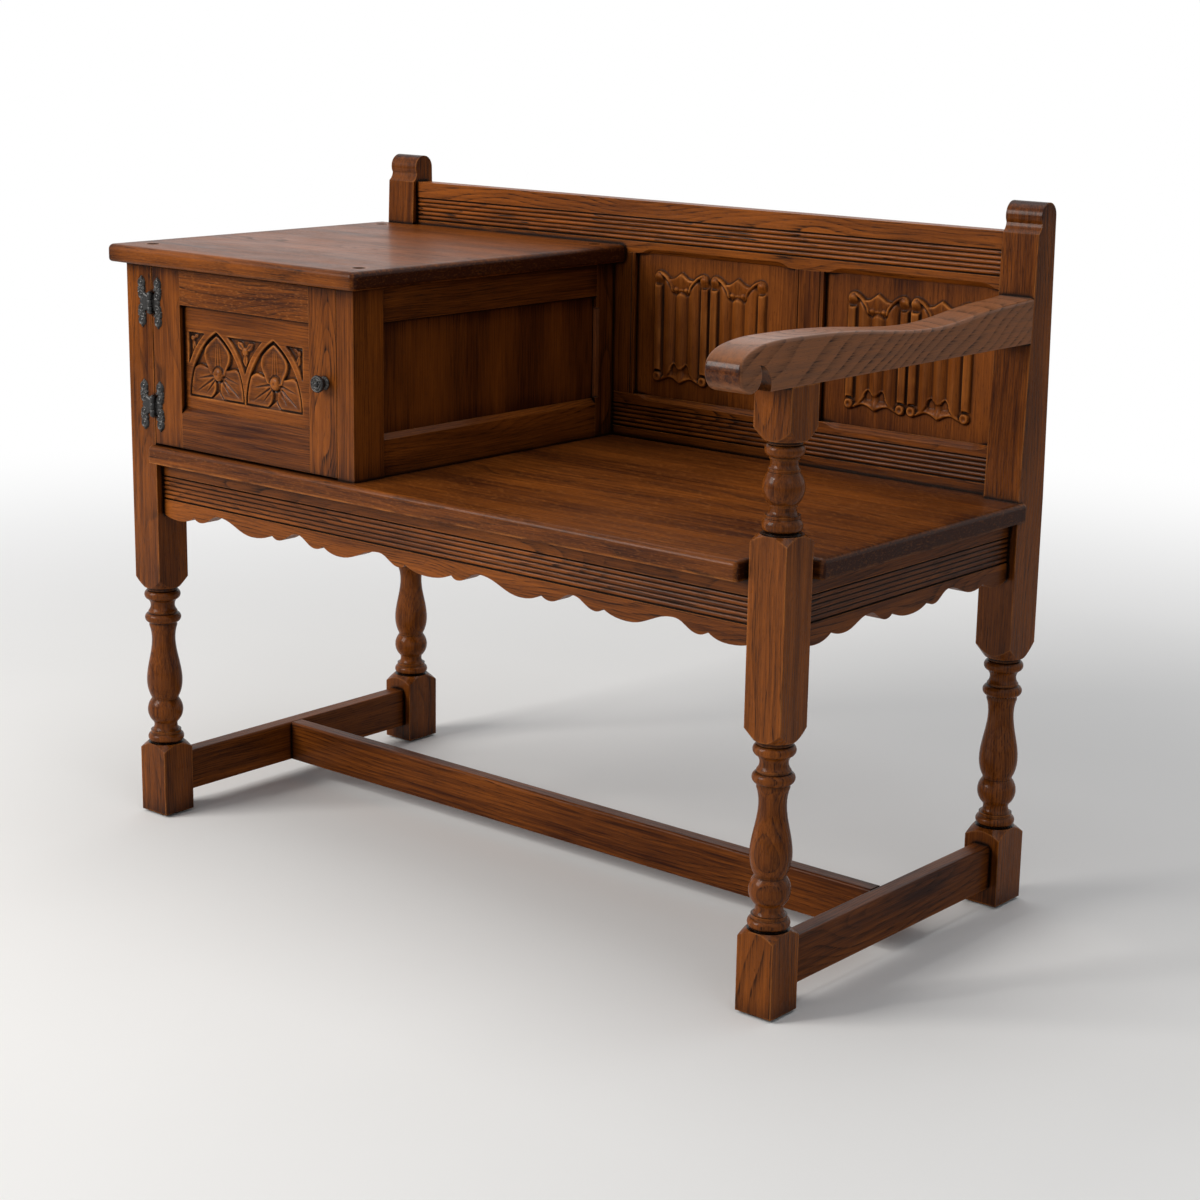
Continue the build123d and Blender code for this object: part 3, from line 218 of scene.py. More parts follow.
END_GRAIN = (0.72, 0.97)  # the normal's part along the grain where end grain starts and is full
END_GRAIN_STAIN = 0.42
END_GRAIN_WEAR = 0.35
FLECK_SLANT = radians(35)
# Stain and painted shade in the hollows, within a close and a wide reach, and in carved hollows.
CLOSE_REACH = 5 * MM
CLOSE_DIRT_AND_SHADE = 0.78
WIDE_REACH = 28 * MM
WIDE_DIRT_AND_SHADE = 0.54
CARVED_DIRT_AND_SHADE = 0.92
DIRT_AND_SHADE_PATCHES = (1.6, 0.25)
WOOD_ROUNDING = 1.2 * MM
WOOD_BUMP = 0.35
WOOD_BUMP_DEPTH = 0.25 * MM
SMEARS = (-0.10, 0.14)  # the least and most that smears add to the roughness
WOOD_SPECULAR = 0.06


def oak(name, grain, box, seed, tone=0.5, ring=2.8, pith=70.0, turn=0.0, figure=1.0,
        flecks=0.0, tilt=0.0, worn=0.5, reach=1.6, gloss=0.36, sheen=0.10, coat=0.16, grime=1.0,
        faded=0.0, carved=False):
    """Stained and waxed oak: growth rings round a pith, fibres, pores, hollows dark with stain and
    painted shade, and worn edges.

    grain is the axis that the grain runs along, box the piece's corners and tone how light
    its stain is. ring is the ring spacing, pith the distance to the middle of the tree and
    reach the width of a worn edge, all in millimetres. turn is the pith's direction in
    radians, and tilt slants the rings, in degrees. figure, flecks, worn, grime and
    faded are how strong the rings and streaks, the rays, the bare edges, the
    stain and painted shade in the hollows, and the fading with painted reflection are.
    gloss is the wood's roughness, sheen how much wax lies on it and coat the wax's roughness.
    A carved mesh brings its own "hollow" and "crest" values; elsewhere the shader rounds
    the edges."""
    place = (box[0] + box[1]) / 2
    half_length = (box[1] - box[0])["XYZ".index(grain)] / 2
    graph = Graph(name)
    random = np.random.default_rng(seed)
    middle = graph.vector("SUBTRACT", graph.object_place, tuple(place))
    split = graph.axes(middle)
    local = graph.joined(*[split[i] for i in GRAIN_LAST[grain]])
    rings_lie = local
    if tilt:
        split = graph.axes(graph.rotated(middle, radians(tilt), "X"))
        rings_lie = graph.joined(*[split[i] for i in GRAIN_LAST[grain]])
    shifted = graph.vector("ADD", local, tuple(random.uniform(-NOISE_SHIFT, NOISE_SHIFT, 3)))

    # Growth rings: distance from the pith, bent by slow noise and spaced unevenly.
    bend = graph.noise(shifted, (9, 9, 2.6), colour=True)
    bend = graph.vector("SUBTRACT", bend, (0.5, 0.5, 0.5))
    bow = RING_BOW * figure
    bent = graph.vector("ADD", rings_lie, graph.scaled(bend, (bow, bow, 0.0)))
    angle = turn + random.uniform(-PITH_SWAY, PITH_SWAY)
    centre = (pith * MM * cos(angle), pith * MM * sin(angle), 0.0)
    from_pith = graph.scaled(graph.vector("SUBTRACT", bent, centre), (1.0, 1.0, 0.0))
    distance = graph.math("DIVIDE", graph.vector("LENGTH", from_pith), ring * MM)
    uneven = graph.noise(graph.joined(distance, seed * 1.7, 0.0), (0.21, 1, 1), detail=1.0)
    distance = graph.math("ADD", distance, graph.times(uneven, RING_DRIFT))
    late = graph.math("FRACT", distance)
    early = graph.math("POWER", graph.math("SUBTRACT", 1.0, late), 3.0)
    early = graph.times(early, graph.ease(late, 0.0, 0.10))
    strength = graph.spread(graph.noise(shifted, (26, 26, 8), detail=1.0), -0.15, 1.6)
    early = graph.times(early, strength, clamp=True)

    # Fibres, streaks and blotches, and the darker ends of a board.
    fibre = graph.noise(shifted, (900, 900, 22), detail=3.0, roughness=0.6)
    streak = graph.noise(shifted, (170, 170, 5), detail=3.0, roughness=0.6)
    blotch = graph.noise(shifted, (16, 16, 4))
    contrast = STREAK_CONTRAST * min(figure, 1.0)
    streak = graph.spread(streak, -contrast, contrast)
    light = graph.math("ADD", graph.spread(fibre, -FIBRE_CONTRAST, FIBRE_CONTRAST), streak)
    light = graph.math("ADD", light, graph.spread(blotch, -BLOTCH_CONTRAST, BLOTCH_CONTRAST))
    light = graph.math("ADD", light, tone)
    along = graph.math("ABSOLUTE", graph.axes(local)[2])
    ends = graph.ease(along, *[half_length + reached for reached in BOARD_END])
    light = graph.math("SUBTRACT", light, graph.times(ends, BOARD_END_STAIN))
    facing = graph.axes(graph.node("ShaderNodeTexCoord").outputs["Normal"])["XYZ".index(grain)]
    end_grain = graph.ease(graph.math("ABSOLUTE", facing), *END_GRAIN)
    soaked = graph.times(end_grain, END_GRAIN_STAIN)
    light = graph.math("SUBTRACT", light, soaked, clamp=True)
    shade = graph.mix(light, OAK_DARK, OAK_LIGHT)
    # The side grain turns paler and greyer: faded wood, and painted reflection.
    if faded:
        side_grain = graph.math("SUBTRACT", 1.0, end_grain)
        shade = graph.mix(graph.times(side_grain, faded), shade, OAK_FADED_AND_REFLECTED)

    # Dark earlywood, with pores that run along the grain.
    pores = graph.noise(shifted, (1500, 1500, 120), detail=1.0)
    pores = graph.ease(pores, 0.60, 0.72)
    dashes = graph.ease(graph.noise(shifted, (700, 700, 40), detail=1.0), 0.48, 0.62)
    lines = graph.times(early, graph.spread(dashes, 0.6, 1.6), clamp=True)
    dark_rings = graph.times(lines, RING_STAIN * figure, clamp=True)
    shade = graph.mix(dark_rings, shade, OAK_STAIN_AND_SHADE)
    shade = graph.mix(graph.times(pores, PORE_STAIN), shade, OAK_STAIN_AND_SHADE)

    if flecks:
        slant = graph.rotated(shifted, FLECK_SLANT, "X" if grain == "Y" else "Y")
        rays = graph.ease(graph.noise(slant, (260, 620, 90), detail=1.0), 0.54, 0.72)
        shade = graph.mix(graph.times(rays, flecks), shade, OAK_FLECK)

    # Stain and painted shade in the hollows, and pale worn edges.
    close = graph.ease(graph.hollows(CLOSE_REACH), 0.04, 0.34)
    wide = graph.ease(graph.hollows(WIDE_REACH), 0.08, 0.75)
    patchy = graph.noise(shifted, (60, 60, 25))
    patchy = graph.spread(patchy, DIRT_AND_SHADE_PATCHES[0] - grime, DIRT_AND_SHADE_PATCHES[1] + grime)
    dirt_and_shade = graph.times(close, CLOSE_DIRT_AND_SHADE * grime)
    dirt_and_shade = graph.math("ADD", dirt_and_shade, graph.times(wide, WIDE_DIRT_AND_SHADE * grime))
    # A carving's hollows turn dark too, with stain and painted shade.
    if carved:
        hollow = graph.node("ShaderNodeAttribute", attribute_name="hollow").outputs["Fac"]
        dirt_and_shade = graph.math("MAXIMUM", dirt_and_shade, graph.times(hollow, CARVED_DIRT_AND_SHADE))
        sharp = graph.node("ShaderNodeAttribute", attribute_name="crest").outputs["Fac"]
    else:
        sharp = graph.edges(reach * MM)
    shade = graph.mix(graph.times(dirt_and_shade, patchy, clamp=True), shade, OAK_STAIN_AND_SHADE)
    edge = graph.times(sharp, graph.math("SUBTRACT", 1.0, close))
    rubbed = graph.ease(graph.noise(shifted, (45, 45, 30)), 0.30, 0.62)
    edge = graph.times(edge, graph.times(rubbed, worn))
    edge = graph.times(edge, graph.spread(end_grain, 1.0, END_GRAIN_WEAR))
    shade = graph.mix(edge, shade, OAK_WORN)

    relief = graph.math("SUBTRACT", graph.times(fibre, 0.5), pores)
    relief = graph.math("SUBTRACT", relief, graph.times(lines, 0.8))
    rounding = None if carved else WOOD_ROUNDING
    normal = graph.bumped(WOOD_BUMP, WOOD_BUMP_DEPTH, relief, rounding)
    smears = graph.noise(shifted, (22, 22, 14), detail=3.0, roughness=0.65)
    rough = graph.spread(smears, *[gloss + change for change in SMEARS])
    rough = graph.math("ADD", rough, graph.times(lines, RING_ROUGHNESS))
    graph.surface.inputs["Specular IOR Level"].default_value = WOOD_SPECULAR
    graph.surface.inputs["Coat Weight"].default_value = sheen
    graph.surface.inputs["Coat Roughness"].default_value = coat
    return graph.finished(shade, rough, normal)


# --- iron, plugs, screws and glides ---

IRON_DARK = colour(0.004, 0.004, 0.004)
IRON_LIGHT = colour(0.020, 0.018, 0.017)
IRON_BARE = colour(0.20, 0.19, 0.175)
IRON_DUST = colour(0.035, 0.022, 0.014)
SMOOTH_GLOSS = 0.24  # of the pins and screws
PLUG_DARK = colour(0.006, 0.003, 0.002)
PLUG_LIGHT = colour(0.050, 0.020, 0.009)
STEEL_DARK = colour(0.28, 0.27, 0.25)
STEEL_LIGHT = colour(0.48, 0.47, 0.45)
PLASTIC_DARK = colour(0.010, 0.008, 0.007)
PLASTIC_WORN = colour(0.045, 0.038, 0.032)


def iron(name, seed, gloss=0.38):
    """Black lacquered iron, hammered, with bare bright edges and brown dust in its hollows."""
    graph = Graph(name)
    shifted = graph.vector("ADD", graph.object_place, (seed * 1.3, seed * 0.7, seed * 2.1))
    mottle = graph.noise(shifted, (260, 260, 260), detail=3.0)
    shade = graph.mix(mottle, IRON_DARK, IRON_LIGHT)
    edge = graph.edges(0.7 * MM)
    scuffs = graph.ease(graph.noise(shifted, (420, 420, 420)), 0.42, 0.66)
    bare = graph.times(edge, scuffs)
    shade = graph.mix(bare, shade, IRON_BARE)
    dust = graph.ease(graph.hollows(3 * MM), 0.35, 0.9)
    shade = graph.mix(graph.times(dust, 0.5), shade, IRON_DUST)
    hammer = graph.noise(shifted, (600, 600, 600))
    normal = graph.bumped(0.5, depth=0.25 * MM, height=hammer, radius=0.6 * MM)
    rough = graph.spread(mottle, gloss - 0.10, gloss + 0.12)
    graph.put(graph.surface.inputs["Metallic"], graph.spread(bare, 0.0, 0.9))
    graph.surface.inputs["Specular IOR Level"].default_value = 0.35
    return graph.finished(shade, rough, normal)


def dark_wood(name, seed):
    """The end grain of a plug that has taken the stain very dark."""
    graph = Graph(name)
    shifted = graph.vector("ADD", graph.object_place, (seed, seed * 0.6, 0.0))
    speckle = graph.noise(shifted, (1400, 1400, 200))
    rings = graph.noise(shifted, (500, 90, 100))
    mixed = graph.times(speckle, graph.spread(rings, 0.5, 1.5), clamp=True)
    shade = graph.mix(mixed, PLUG_DARK, PLUG_LIGHT)
    normal = graph.bumped(0.4, depth=0.2 * MM, height=mixed, radius=0.8 * MM)
    graph.surface.inputs["Specular IOR Level"].default_value = 0.0
    return graph.finished(shade, graph.spread(speckle, 0.6, 0.9), normal)


def steel(name):
    """Zinc-plated screw steel with faint turning marks."""
    graph = Graph(name)
    marks = graph.noise(graph.object_place, (300, 300, 2500))
    shade = graph.mix(marks, STEEL_DARK, STEEL_LIGHT)
    graph.surface.inputs["Metallic"].default_value = 1.0
    return graph.finished(shade, graph.spread(marks, 0.25, 0.45))


def glide(name):
    """Dark hard plastic with fine scratches from the floor."""
    graph = Graph(name)
    scratches = graph.noise(graph.object_place, (90, 1500, 900))
    worn = graph.ease(scratches, 0.5, 0.75)
    shade = graph.mix(worn, PLASTIC_DARK, PLASTIC_WORN)
    normal = graph.bumped(0.3, depth=0.1 * MM, height=scratches)
    return graph.finished(shade, graph.spread(scratches, 0.4, 0.65), normal)


# --- what each wooden node is cut from ---

# Settings that several pieces share.
TURNED = {"gloss": 0.24, "sheen": 0.10, "coat": 0.09, "grime": 1.4, "worn": 0.9, "reach": 3.0}
BOARD_EDGE = {"worn": 1.1, "reach": 5.0}
LINEN = {"carved": True, "worn": 0.9, "figure": 0.5, "sheen": 0.04, "gloss": 0.46}
STRETCHER = {"sheen": 0.04}
# Grain axis, tone, and the settings of oak() that differ for the piece.
BOARDS = {
    "front_left_leg": ("Z", 0.44, TURNED),
    "front_right_leg": ("Z", 0.50, {"pith": 45.0, "ring": 3.6, **TURNED}),
    "back_left_post": ("Z", 0.38, TURNED),
    "back_right_post": ("Z", 0.46, {"pith": 60.0, **TURNED}),
    "left_stretcher": ("Y", 0.32, STRETCHER),
    "right_stretcher": ("Y", 0.36, STRETCHER),
    "centre_stretcher": ("X", 0.31, {"ring": 4.0, **STRETCHER}),
    "front_apron": ("X", 0.54, {"pith": 55.0, "turn": 0.3, "grime": 1.35, "worn": 0.9}),
    "right_apron": ("Y", 0.38, {"grime": 1.35, "worn": 0.8}),
    "left_apron": ("Y", 0.40, {"grime": 1.2}),
    "back_apron": ("X", 0.40, {}),
    "seat_board": ("X", 0.35, {"pith": 60.0, "turn": -pi / 2, "ring": 4.5, "flecks": 0.18,
                               **BOARD_EDGE}),
    "back_top_rail": ("X", 0.68, {"figure": 1.2, "ring": 3.6, "pith": 42.0, "turn": 0.0,
                                  "grime": 1.3, "worn": 0.9}),
    "back_bottom_rail": ("X", 0.48, {"grime": 1.3, "worn": 0.8}),
    "left_muntin": ("Z", 0.46, {}),
    "centre_muntin": ("Z", 0.52, {}),
    "left_back_panel": ("Z", 0.44, {}),
    "middle_linenfold_panel": ("Z", 0.54, LINEN),
    "right_linenfold_panel": ("Z", 0.50, LINEN),
    "arm": ("Y", 0.76, {"faded": 0.4, "tilt": -33.0, "ring": 11.0, "pith": 90.0, "turn": pi / 2,
                        "sheen": 0.22, "gloss": 0.30, "grime": 1.4}),
    "cabinet_top": ("X", 0.44, {"flecks": 0.15, **BOARD_EDGE}),
    "cabinet_front_post": ("Z", 0.38, {"pith": 40.0, "figure": 0.8}),
    "cabinet_right_back_stile": ("Z", 0.36, {}),
    "cabinet_right_top_rail": ("Y", 0.36, {}),
    "cabinet_right_bottom_rail": ("Y", 0.38, {}),
    "cabinet_right_panel": ("Z", 0.32, {"figure": 0.35}),
    "cabinet_left_top_rail": ("Y", 0.42, {}),
    "cabinet_left_bottom_rail": ("Y", 0.42, {}),
    "cabinet_left_panel": ("Z", 0.42, {}),
    "door_hinge_stile": ("Z", 0.60, {}),
    "door_lock_stile": ("Z", 0.42, {"figure": 1.3, "pith": 30.0, "turn": -pi / 2}),
    "door_top_rail": ("X", 0.48, {"flecks": 0.3}),
    "door_bottom_rail": ("X", 0.34, {}),
    "door_panel": ("X", 0.58, {"figure": 0.7, "carved": True, "worn": 0.8}),
}


def in_scene(name, data):
    """A new object of some data, linked to the scene."""
    made = bpy.data.objects.new(name, data)
    bpy.context.scene.collection.objects.link(made)
    return made


def dress(obj, material):
    """The material in every slot of an object that the frame brought in."""
    for slot in obj.material_slots:
        slot.material = material


TURN_STEP = 1.1  # radians from one board's pith to the next's, where BOARDS gives none
oak_of = {}
for seed, (node, (grain, tone, settings)) in enumerate(BOARDS.items(), 1):
    options = {"turn": seed * TURN_STEP, **settings}
    oak_of[node] = oak("oak_" + node, grain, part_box(node), seed, tone, **options)
    dress(nodes[node], oak_of[node])

for seed, node in enumerate(("hinge_pins", "post_leaf_screws", "door_leaf_screws"), 1):
    dress(nodes[node], iron("iron_" + node, seed, gloss=SMOOTH_GLOSS))
dress(nodes["top_plugs"], dark_wood("dark_plugs", 3.0))
dress(nodes["top_screws"], steel("plain_steel"))
dress(nodes["glides"], glide("dark_plastic"))

# --- carving ---

NOWHERE = -99  # deeper than any carving, where a form doesn't reach
BORDER_LINES = 4  # of a panel's grid, from its edge to its carving
SMOOTHING = 14  # passes that make the surface which hollows lie under and crests over
STAIN_DEPTHS = (0.3, 1.2)  # millimetres below the flat where stain starts and is full
HOLLOW_GAIN = 1.5
CREST_GAIN = -1.6


def in_mm(corners):
    """Corners given in metres, in millimetres."""
    return [Vector(corner) / MM for corner in corners]


def eased(value, low, high):
    """0 at low and 1 at high, and smooth between; low may be the larger."""
    share = np.clip((value - low) / (high - low), 0.0, 1.0)
    return share * share * (3 - 2 * share)


def along_curve(points, count=24):
    """Evenly spaced points of a smooth curve through the given points."""
    points = np.array(points, float)
    padded = np.vstack([2 * points[0] - points[1], points, 2 * points[-1] - points[-2]])
    made = []
    for i in range(len(points) - 1):
        a, b, c, d = padded[i : i + 4]
        for t in np.linspace(0, 1, count // (len(points) - 1) + 1, endpoint=False):
            made.append(
                0.5 * (2 * b + (c - a) * t + (2 * a - 5 * b + 4 * c - d) * t**2
                       + (3 * b - a - 3 * c + d) * t**3)
            )
    made.append(points[-1])
    return np.array(made)


def distance_to(x, z, line):
    """How far each place is from a line of points, and how far along it the nearest point is."""
    nearest = np.full(x.shape, 1e9)
    share = np.zeros(x.shape)
    for i, ((ax, az), (bx, bz)) in enumerate(zip(line[:-1], line[1:])):
        dx, dz = bx - ax, bz - az
        t = np.clip(((x - ax) * dx + (z - az) * dz) / (dx * dx + dz * dz + 1e-9), 0, 1)
        away = np.hypot(x - ax - t * dx, z - az - t * dz)
        closer = away < nearest
        nearest = np.where(closer, away, nearest)
        share = np.where(closer, (i + t) / (len(line) - 1), share)
    return nearest, share


def outline_distance(x, z, points, smooth=True):
    """Signed distance to a closed outline through the points, negative inside."""
    if smooth:
        count = len(points)
        looped = [points[(i - 1) % count] for i in range(count + 3)]
        line = along_curve(looped, 6 * (count + 2))
        line = np.vstack([line[6:-7], line[6:7]])
    else:
        line = np.array(list(points) + [points[0]], float)
    away, _ = distance_to(x, z, line)
    inside = np.zeros(x.shape, bool)
    for (ax, az), (bx, bz) in zip(line[:-1], line[1:]):
        if az != bz:
            crosses = (az > z) != (bz > z)
            inside ^= crosses & (x < ax + (z - az) * (bx - ax) / (bz - az))
    return np.where(inside, -away, away)


def ridge(x, z, points, width):
    """1 along the middle of a smooth line through the points, 0 beyond half the width."""
    away, _ = distance_to(x, z, along_curve(points, 6 * len(points)))
    return np.sqrt(np.clip(1 - (2 * away / width) ** 2, 0, 1))


def groove(x, z, start, end, width):
    """A gouge cut that starts deep and runs out to nothing at its end."""
    away, share = distance_to(x, z, np.array([start, end], float))
    return np.clip(1 - 2 * away / (width * (1.15 - share)), 0, 1) * eased(1 - share, 0, 0.5)


def grid_quads(rows, columns):
    """The four-cornered faces of a grid of points."""
    return [
        (i, i + 1, i + 1 + columns, i + columns)
        for row in range(rows - 1)
        for i in range(row * columns, row * columns + columns - 1)
    ]


def softened(surface, passes=1):
    """The surface with its smallest steps smoothed, as a gouge and wax leave them."""
    for _ in range(passes):
        padded = np.pad(surface, 1, mode="edge")
        around = padded[:-2, 1:-1] + padded[2:, 1:-1] + padded[1:-1, :-2] + padded[1:-1, 2:]
        surface = 0.5 * surface + 0.125 * around
    return surface


def carved_panel(name, node, fine_x, fine_z, step, height, stain=0.0):
    """A panel in the place of a node, its front carved by height(x, z) in millimetres.

    The grid is fine inside the carving and coarse around it. stain darkens all that is
    sunk below the flat of the panel."""
    low, high = in_mm(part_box(node))
    grids = []
    for start, end, fine in ((low.x, high.x, fine_x), (low.z, high.z, fine_z)):
        before = np.linspace(start, fine[0], BORDER_LINES, endpoint=False)
        inside = np.linspace(fine[0], fine[1], int((fine[1] - fine[0]) / step), endpoint=False)
        after = np.linspace(fine[1], end, BORDER_LINES)
        grids.append(np.concatenate([before, inside, after]))
    x, z = np.meshgrid(*grids)
    rows, columns = x.shape
    face = height(x, z)
    front = np.stack([x, face, z], axis=-1).reshape(-1, 3)
    ring = list(range(columns))
    ring += [row * columns + columns - 1 for row in range(1, rows)]
    ring += [(rows - 1) * columns + column for column in range(columns - 2, -1, -1)]
    ring += [row * columns for row in range(rows - 2, 0, -1)]
    back = front[ring].copy()
    back[:, 1] = high.y
    points = np.vstack([front, back]) * MM
    faces = grid_quads(rows, columns)
    first = len(front)
    count = len(ring)
    for i in range(count):
        following = (i + 1) % count
        faces.append((ring[following], ring[i], first + i, first + following))
    faces.append(tuple(range(first, first + count)))
    mesh = bpy.data.meshes.new(name)
    mesh.from_pydata(points.tolist(), [], faces)
    mesh.update()
    mesh.materials.append(oak_of[node])
    carved = (x > fine_x[0]) & (x < fine_x[1]) & (z > fine_z[0]) & (z < fine_z[1])
    # The hollow value darkens what is sunk under the smoothed surface, with stain and painted
    # shade, and what lies below the flat, with stain. The crest value marks raised parts for wear.
    sunk = np.where(carved, face - softened(face, SMOOTHING), 0.0)
    below = eased(face - face[0, 0], *STAIN_DEPTHS)
    shares = {"hollow": HOLLOW_GAIN * sunk + stain * below, "crest": CREST_GAIN * sunk}
    for label, share in shares.items():
        values = np.concatenate([np.clip(share, 0, 1).ravel(), np.zeros(count)])
        mesh.attributes.new(label, "FLOAT", "POINT").data.foreach_set("value", values)
    smooth = np.arange(len(mesh.polygons)) < (rows - 1) * (columns - 1)
    mesh.polygons.foreach_set("use_smooth", smooth)
    panel = in_scene(name, mesh)
    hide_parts(node)
    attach(panel, nodes[node]["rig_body"])


# --- the door's carving: two lancet arches with a three-petalled flower in each ---

ARCH_HALF = 46.0
ARCH_RISE = 77.0
ARCH_RADIUS = (ARCH_RISE**2 + ARCH_HALF**2) / (2 * ARCH_HALF)
ARCH_SPACING = 94.0
ARCH_SHIFT = -5.0
ARCH_FOOT = 20.0
ARCH_BAND = 6.8
GROUND = 4.4
SPANDREL_FOOT = 12.0
SPANDREL_TOP = 73.5
SPANDREL_DEPTH = 3.6
WALL_SLOPE = 1.3  # across the slope from the flat into a sunk part
BOSS = (0.6, 29.0)
BOSS_RADIUS = 8.0
LOWER_PETAL = [(4, 20), (4.5, 9), (13, 0.5), (30, -1), (48, -1), (46, 20), (41, 31), (31, 37.5),
               (20, 36), (9, 32.5)]
TOP_PETAL = [(0, 26), (11, 28), (16, 36), (20.5, 44), (21.5, 52), (17, 61), (8, 69.5), (0, 74.5),
             (-8, 69.5), (-17, 61), (-21.5, 52), (-20.5, 44), (-16, 36), (-11, 28)]
VEIN_ENDS = [(40.5, 3.5), (38.5, 20.5), (21.5, 4.5)]
VEIN_START = 0.24  # of the way from the boss to a vein's end
VEIN_DEPTH = 1.7
VEIN_WIDTH = 3.6
RIBS = ((0.0, 0.9), (-6.5, 0.7), (6.5, 0.7))  # place across the top petal, and height
BASE_WEDGE = [(0, 9.5), (11, 0.6), (-11, 0.6)]
MIDDLE_BALL = (0, 59.5)
SIDE_BALL = (40.5, 66.5)
# The turn from upright in degrees, length and width of the leaves round each ball.
MIDDLE_LEAVES = ((-52, 17, 9.5), (52, 17, 9.5), (180, 18, 9.0))
SIDE_LEAVES = ((192, 17, 7.5), (-62, 11, 6.0))


def lancet(u, v, grow=0.0):
    """Signed distance to the outline of an arch that stands on v = 0, grown all round."""
    offset = ARCH_RADIUS - ARCH_HALF
    sides = np.maximum(np.hypot(u - offset, v), np.hypot(u + offset, v)) - ARCH_RADIUS
    return np.maximum(sides, -v) - grow


def petal(distance, dish, rim=0.5):
    """A dished petal: high along its rim, hollow inside it and steep outside."""
    inner = -rim - dish * eased(-distance, 1.0, 7.5)
    return inner - (GROUND + 1) * eased(distance, -0.9, 0.9)


def small_leaf(u, v, foot, degrees, length, width):
    """A small pointed leaf that grows from its foot, turned from upright."""
    turn = radians(degrees)
    along = (u - foot[0]) * sin(turn) + (v - foot[1]) * cos(turn)
    across = (u - foot[0]) * cos(turn) - (v - foot[1]) * sin(turn)
    shape = [(0, 0), (width / 2, length * 0.55), (width * 0.3, length * 0.85), (0, length),
             (-width * 0.3, length * 0.85), (-width / 2, length * 0.55)]
    distance = outline_distance(across, along, shape)
    vein = 0.7 * np.clip(1 - np.abs(across) / 0.9, 0, 1) * (distance < -0.5)
    return -1.1 - (SPANDREL_DEPTH + 1) * eased(distance, -1.4, 0.6) - vein


def ball(u, v, centre, radius, top):
    """A round button that rises to top."""
    away = np.hypot(u - centre[0], v - centre[1]) / radius
    fall = radius * 0.62 * (1 - np.sqrt(np.clip(1 - away**2, 0, 1)))
    return np.where(away < 1, top - fall, NOWHERE)


def arch_carving(u, v):
    """One arch with its flower; u is across from its middle and v up from its base."""
    wall = lancet(u, v)
    surface = -GROUND * eased(-wall, 0.0, WALL_SLOPE)
    side = np.abs(u - BOSS[0])
    lower = np.maximum(outline_distance(side, v, LOWER_PETAL), lancet(u, v, -1.5))
    from_boss = np.hypot(u - BOSS[0], v - BOSS[1])
    lower_petals = petal(lower, 0.9) - 1.7 * np.exp(-((from_boss / 17) ** 2))
    for end in VEIN_ENDS:
        start = (end[0] * VEIN_START, BOSS[1] + (end[1] - BOSS[1]) * VEIN_START)
        lower_petals -= VEIN_DEPTH * groove(side, v, start, end, VEIN_WIDTH)
    top = np.maximum(outline_distance(u, v, TOP_PETAL), lancet(u, v, -3.6))
    top_petal = petal(top, 2.1)
    for place, rise in RIBS:
        rib = np.clip(1 - np.abs(u - place * (1.2 - v / 75)) / 1.5, 0, 1) * eased(v, 32, 40)
        top_petal += rise * rib * eased(-top, 3.0, 7.0)
    wedge = outline_distance(u - BOSS[0], v, BASE_WEDGE, smooth=False)
    base_wedge = -1.5 - 0.16 * np.abs(v) - (GROUND + 1) * eased(wedge, -0.5, 0.9)
    for part in (top_petal, lower_petals, base_wedge):
        surface = np.maximum(surface, np.where(wall < -0.4, part, NOWHERE))
    ring = np.clip(1 - np.abs(from_boss - BOSS_RADIUS - 0.9) / 1.4, 0, 1)
    surface = surface - 1.3 * ring * (wall < -2)
    button = ball(u, v, BOSS, BOSS_RADIUS, 1.6) - 1.3 * np.exp(-((from_boss / 2.0) ** 2))
    return np.maximum(surface, button)


def middle_spandrel(x, v, arches):
    """The sunk triangle between the arches, with a ball and three leaves."""
    outside = [-lancet(x - centre, v, ARCH_BAND) for centre in arches]
    u = x - sum(arches) / 2
    wall = np.maximum(np.maximum(*outside), v - SPANDREL_TOP)
    wall = np.maximum(wall, np.maximum(np.abs(u) - ARCH_SPACING / 2, SPANDREL_FOOT - v))
    surface = -SPANDREL_DEPTH * eased(-wall, 0.0, WALL_SLOPE)
    for leaf in MIDDLE_LEAVES:
        part = small_leaf(u, v, MIDDLE_BALL, *leaf)
        surface = np.maximum(surface, np.where(wall < -0.6, part, NOWHERE))
    return np.maximum(surface, ball(u, v, MIDDLE_BALL, radius=4.8, top=0.5))


def side_spandrel(u, v):
    """The sunk triangle outside an arch; u grows away from the arch."""
    wall = np.maximum(-lancet(u, v, ARCH_BAND + 0.7), v - SPANDREL_TOP)
    wall = np.maximum(wall, u - ARCH_HALF - 1.0)
    wall = np.maximum(wall, np.maximum(20 - u, SPANDREL_FOOT - v))
    surface = -SPANDREL_DEPTH * eased(-wall, 0.0, WALL_SLOPE)
    for leaf in SIDE_LEAVES:
        part = small_leaf(u, v, SIDE_BALL, *leaf)
        surface = np.maximum(surface, np.where(wall < -0.6, part, NOWHERE))
    return np.maximum(surface, ball(u, v, SIDE_BALL, radius=3.2, top=-0.2))


def door_carving(x, z):
    """How far the carved face of the door panel stands out from its flat, in millimetres."""
    low, high = in_mm(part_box("door_panel"))
    centre = (low.x + high.x) / 2 + ARCH_SHIFT
    arches = (centre - ARCH_SPACING / 2, centre + ARCH_SPACING / 2)
    v = z - low.z - ARCH_FOOT
    surface = np.zeros(x.shape)
    for side, arch in zip((-1, 1), arches):
        inside = lancet(x - arch, v) < 0
        surface = np.where(inside, arch_carving(x - arch, v), surface)
        surface = surface + side_spandrel(side * (x - arch), v)
    surface = surface + middle_spandrel(x, v, arches)
    rng = np.random.default_rng(5)
    tooled = softened(rng.normal(0, 1, x.shape), 6)
    return softened(surface + 0.10 * tooled * (surface < -0.3))


# --- linenfold ---

